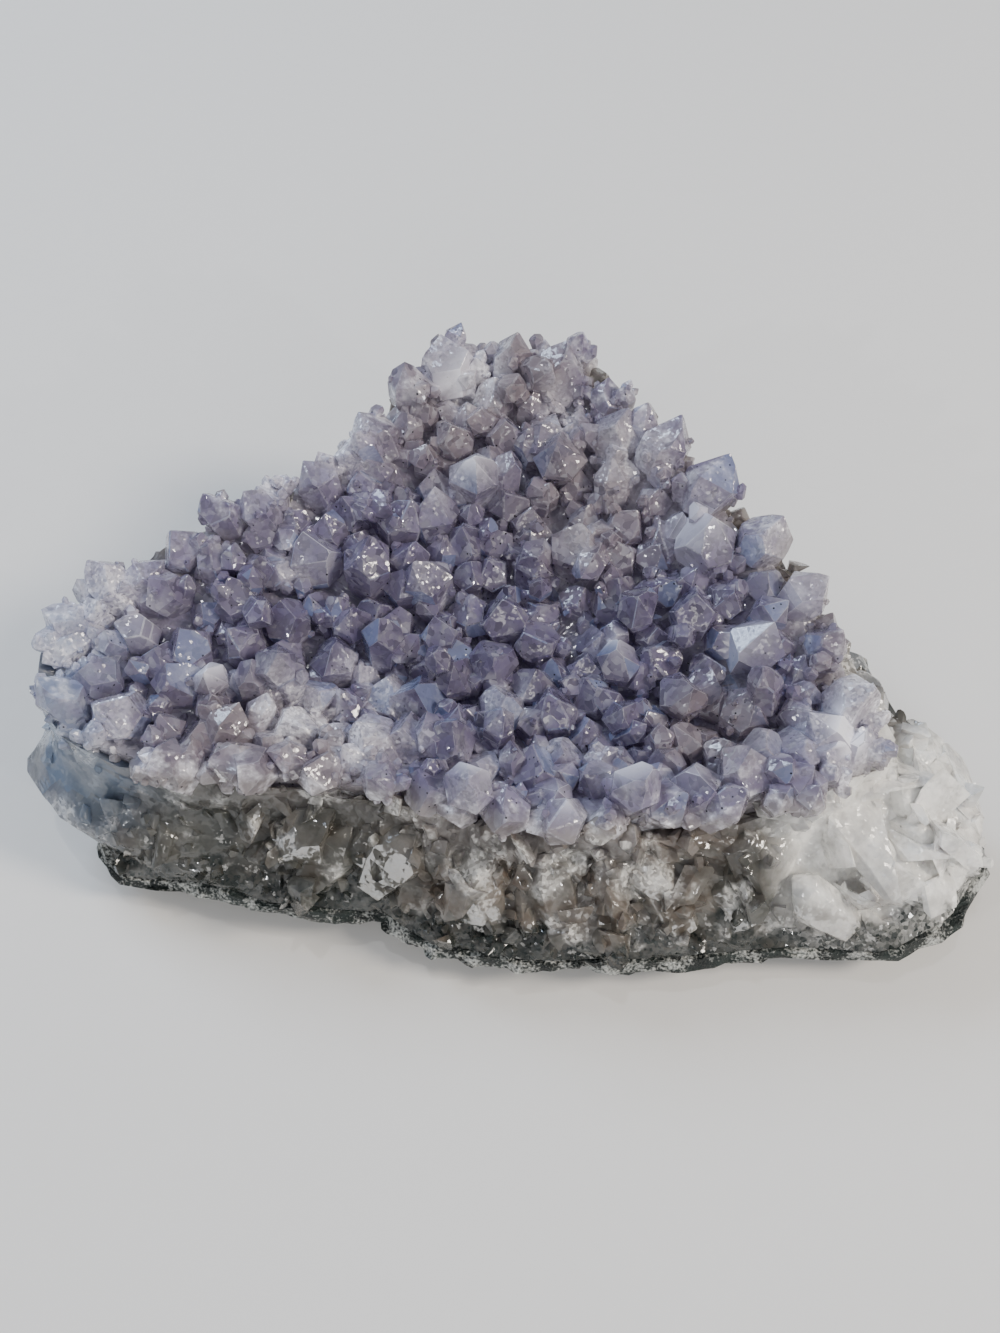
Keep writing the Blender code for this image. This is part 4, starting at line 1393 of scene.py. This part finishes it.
class AMETHYST_OT_basalt(bpy.types.Operator):
    """Build the rind that the cluster rests on"""

    bl_idname = "amethyst.basalt"
    bl_label = "Basalt rind"

    def execute(self, context):
        look = look_of("basalt_rind_look")
        piece = object_of("rough_rind", rough_rind(look.roughness))
        softened(piece)
        ready(piece, "basalt_rind", basalt_finish(look))
        return {"FINISHED"}


def rough_rind(roughness):
    """The rind with its broken edge, pits and lumps, and the flat spot under it."""

    def broken(ring, amount):
        def point(bearing):
            at = ring(bearing)
            turn = math.radians(bearing)
            out = Vector((math.cos(turn), math.sin(turn), 0))
            move = facets(at, 3.2, 17) + 0.5 * facets(at, 1.4, 3) + rough(*at, 6, 12)
            moved = at + (0.6 * out + Vector((0, 0, 0.35))) * amount * roughness * move
            return Vector((moved.x, moved.y, max(0.12, moved.z)))

        return point

    def edge(share):
        """From the rind's top edge, 0, to its lower edge, 1, round its widest ring."""

        def point(bearing):
            top = disc(FOOT, 1.0, rind_height)(bearing)
            low = disc(FOOT, 0.96, rind_underside)(bearing)
            wide = rind_rim(bearing)
            if share < 0.5:
                return top.lerp(wide, share * 2)
            return wide.lerp(low, share * 2 - 1)

        return point

    rings = [disc(FOOT, share, rind_height) for share in (0.35, 0.7)]
    rings += [broken(disc(FOOT, share, rind_height), 0.25) for share in (0.88, 0.95)]
    rings += [broken(edge(step / 9), 1.0) for step in range(10)]
    rings += [
        broken(disc(FOOT, share, rind_underside), 0.7) for share in (0.9, 0.84, 0.77, 0.7, 0.62)
    ]
    rings += [broken(disc(FOOT, share, rind_underside), 0.4) for share in (0.56, 0.5)]
    rings += [disc(FOOT, FLAT_SHARE, lambda x, y: 0)]
    return polar_mesh(rings, 240)


class AMETHYST_OT_stage(bpy.types.Operator):
    """Set up the floor, the lamps and the camera"""

    bl_idname = "amethyst.stage"
    bl_label = "Floor, light and camera"

    def execute(self, context):
        look = look_of("amethyst_stage_look")
        mesh = bmesh.new()
        bmesh.ops.create_grid(mesh, x_segments=2, y_segments=2, size=look.floor_width / 2)
        bmesh.ops.translate(mesh, verts=mesh.verts, vec=(0, 0, -FLOOR_GAP * MM))
        floor = plain_object("floor", mesh)
        if floor.data.polygons[0].normal.z < 0:
            floor.data.flip_normals()
        floor.data.materials.append(floor_finish(look))
        for lamp in LAMPS:
            add_lamp(*lamp, look.light)
        add_sky(look.sky_colour, look.sky_strength)
        add_camera()
        context.scene.view_settings.view_transform = "AgX"
        context.scene.cycles.transmission_bounces = 6
        context.scene.cycles.diffuse_bounces = 3
        context.scene.cycles.max_bounces = 7
        context.scene.cycles.adaptive_threshold = 0.03
        context.scene.cycles.sample_clamp_indirect = 4
        return {"FINISHED"}


def add_lamp(name, place, width, power, colour, light):
    """A round lamp that faces the cluster."""
    lamp = bpy.data.lights.new(name, "AREA")
    lamp.shape, lamp.size = "DISK", width
    lamp.energy, lamp.color = power * light, colour
    held = bpy.data.objects.new(name, lamp)
    bpy.context.scene.collection.objects.link(held)
    held.location = place
    aim = Vector(place) - Vector((0, 0, 0.015))
    held.rotation_euler = aim.to_track_quat("Z", "Y").to_euler()


def add_sky(colour, strength):
    """Even light from all sides."""
    world = bpy.data.worlds.new("studio")
    bpy.context.scene.world = world
    world.use_nodes = True
    sky = world.node_tree.nodes["Background"]
    sky.inputs["Color"].default_value = (*colour, 1)
    sky.inputs["Strength"].default_value = strength


def add_camera():
    """The photograph's view: from in front, well above."""
    data = bpy.data.cameras.new("camera")
    data.lens, data.sensor_width, data.clip_start = LENS, SENSOR, 10 * MM
    camera = bpy.data.objects.new("camera", data)
    bpy.context.scene.collection.objects.link(camera)
    camera.location = (Vector(CAMERA_PLACE) + SHIFT) * MM
    camera.rotation_euler = (math.radians(90 - CAMERA_ELEVATION), 0, 0)
    bpy.context.scene.camera = camera


class AMETHYST_PT_panel(bpy.types.Panel):
    """Lists what the add-on makes"""

    bl_idname = "AMETHYST_PT_panel"
    bl_label = "Amethyst cluster"
    bl_space_type = "VIEW_3D"
    bl_region_type = "UI"
    bl_category = "Amethyst"

    def draw(self, context):
        for label, group in GROUPS.items():
            box = self.layout.box()
            box.operator(OPERATORS[label].bl_idname)
            held = getattr(context.scene, group[0])
            for name in group[1].__annotations__:
                box.prop(held, name)


GROUPS = {
    "basalt": ("basalt_rind_look", BasaltRindLook),
    "quartz": ("broken_quartz_look", BrokenQuartzLook),
    "carpet": ("amethyst_carpet_look", AmethystCarpetLook),
    "stage": ("amethyst_stage_look", StageLook),
}
OPERATORS = {
    "basalt": AMETHYST_OT_basalt,
    "quartz": AMETHYST_OT_quartz,
    "carpet": AMETHYST_OT_carpet,
    "stage": AMETHYST_OT_stage,
}


def register():
    for name, group in GROUPS.values():
        bpy.utils.register_class(group)
        setattr(bpy.types.Scene, name, PointerProperty(type=group))
    for operator in OPERATORS.values():
        bpy.utils.register_class(operator)
    bpy.utils.register_class(AMETHYST_PT_panel)


def unregister():
    bpy.utils.unregister_class(AMETHYST_PT_panel)
    for operator in OPERATORS.values():
        bpy.utils.unregister_class(operator)
    for name, group in GROUPS.values():
        delattr(bpy.types.Scene, name)
        bpy.utils.unregister_class(group)


def main():
    register()
    for label in OPERATORS:
        getattr(bpy.ops.amethyst, label)()


if __name__ == "__main__":
    main()
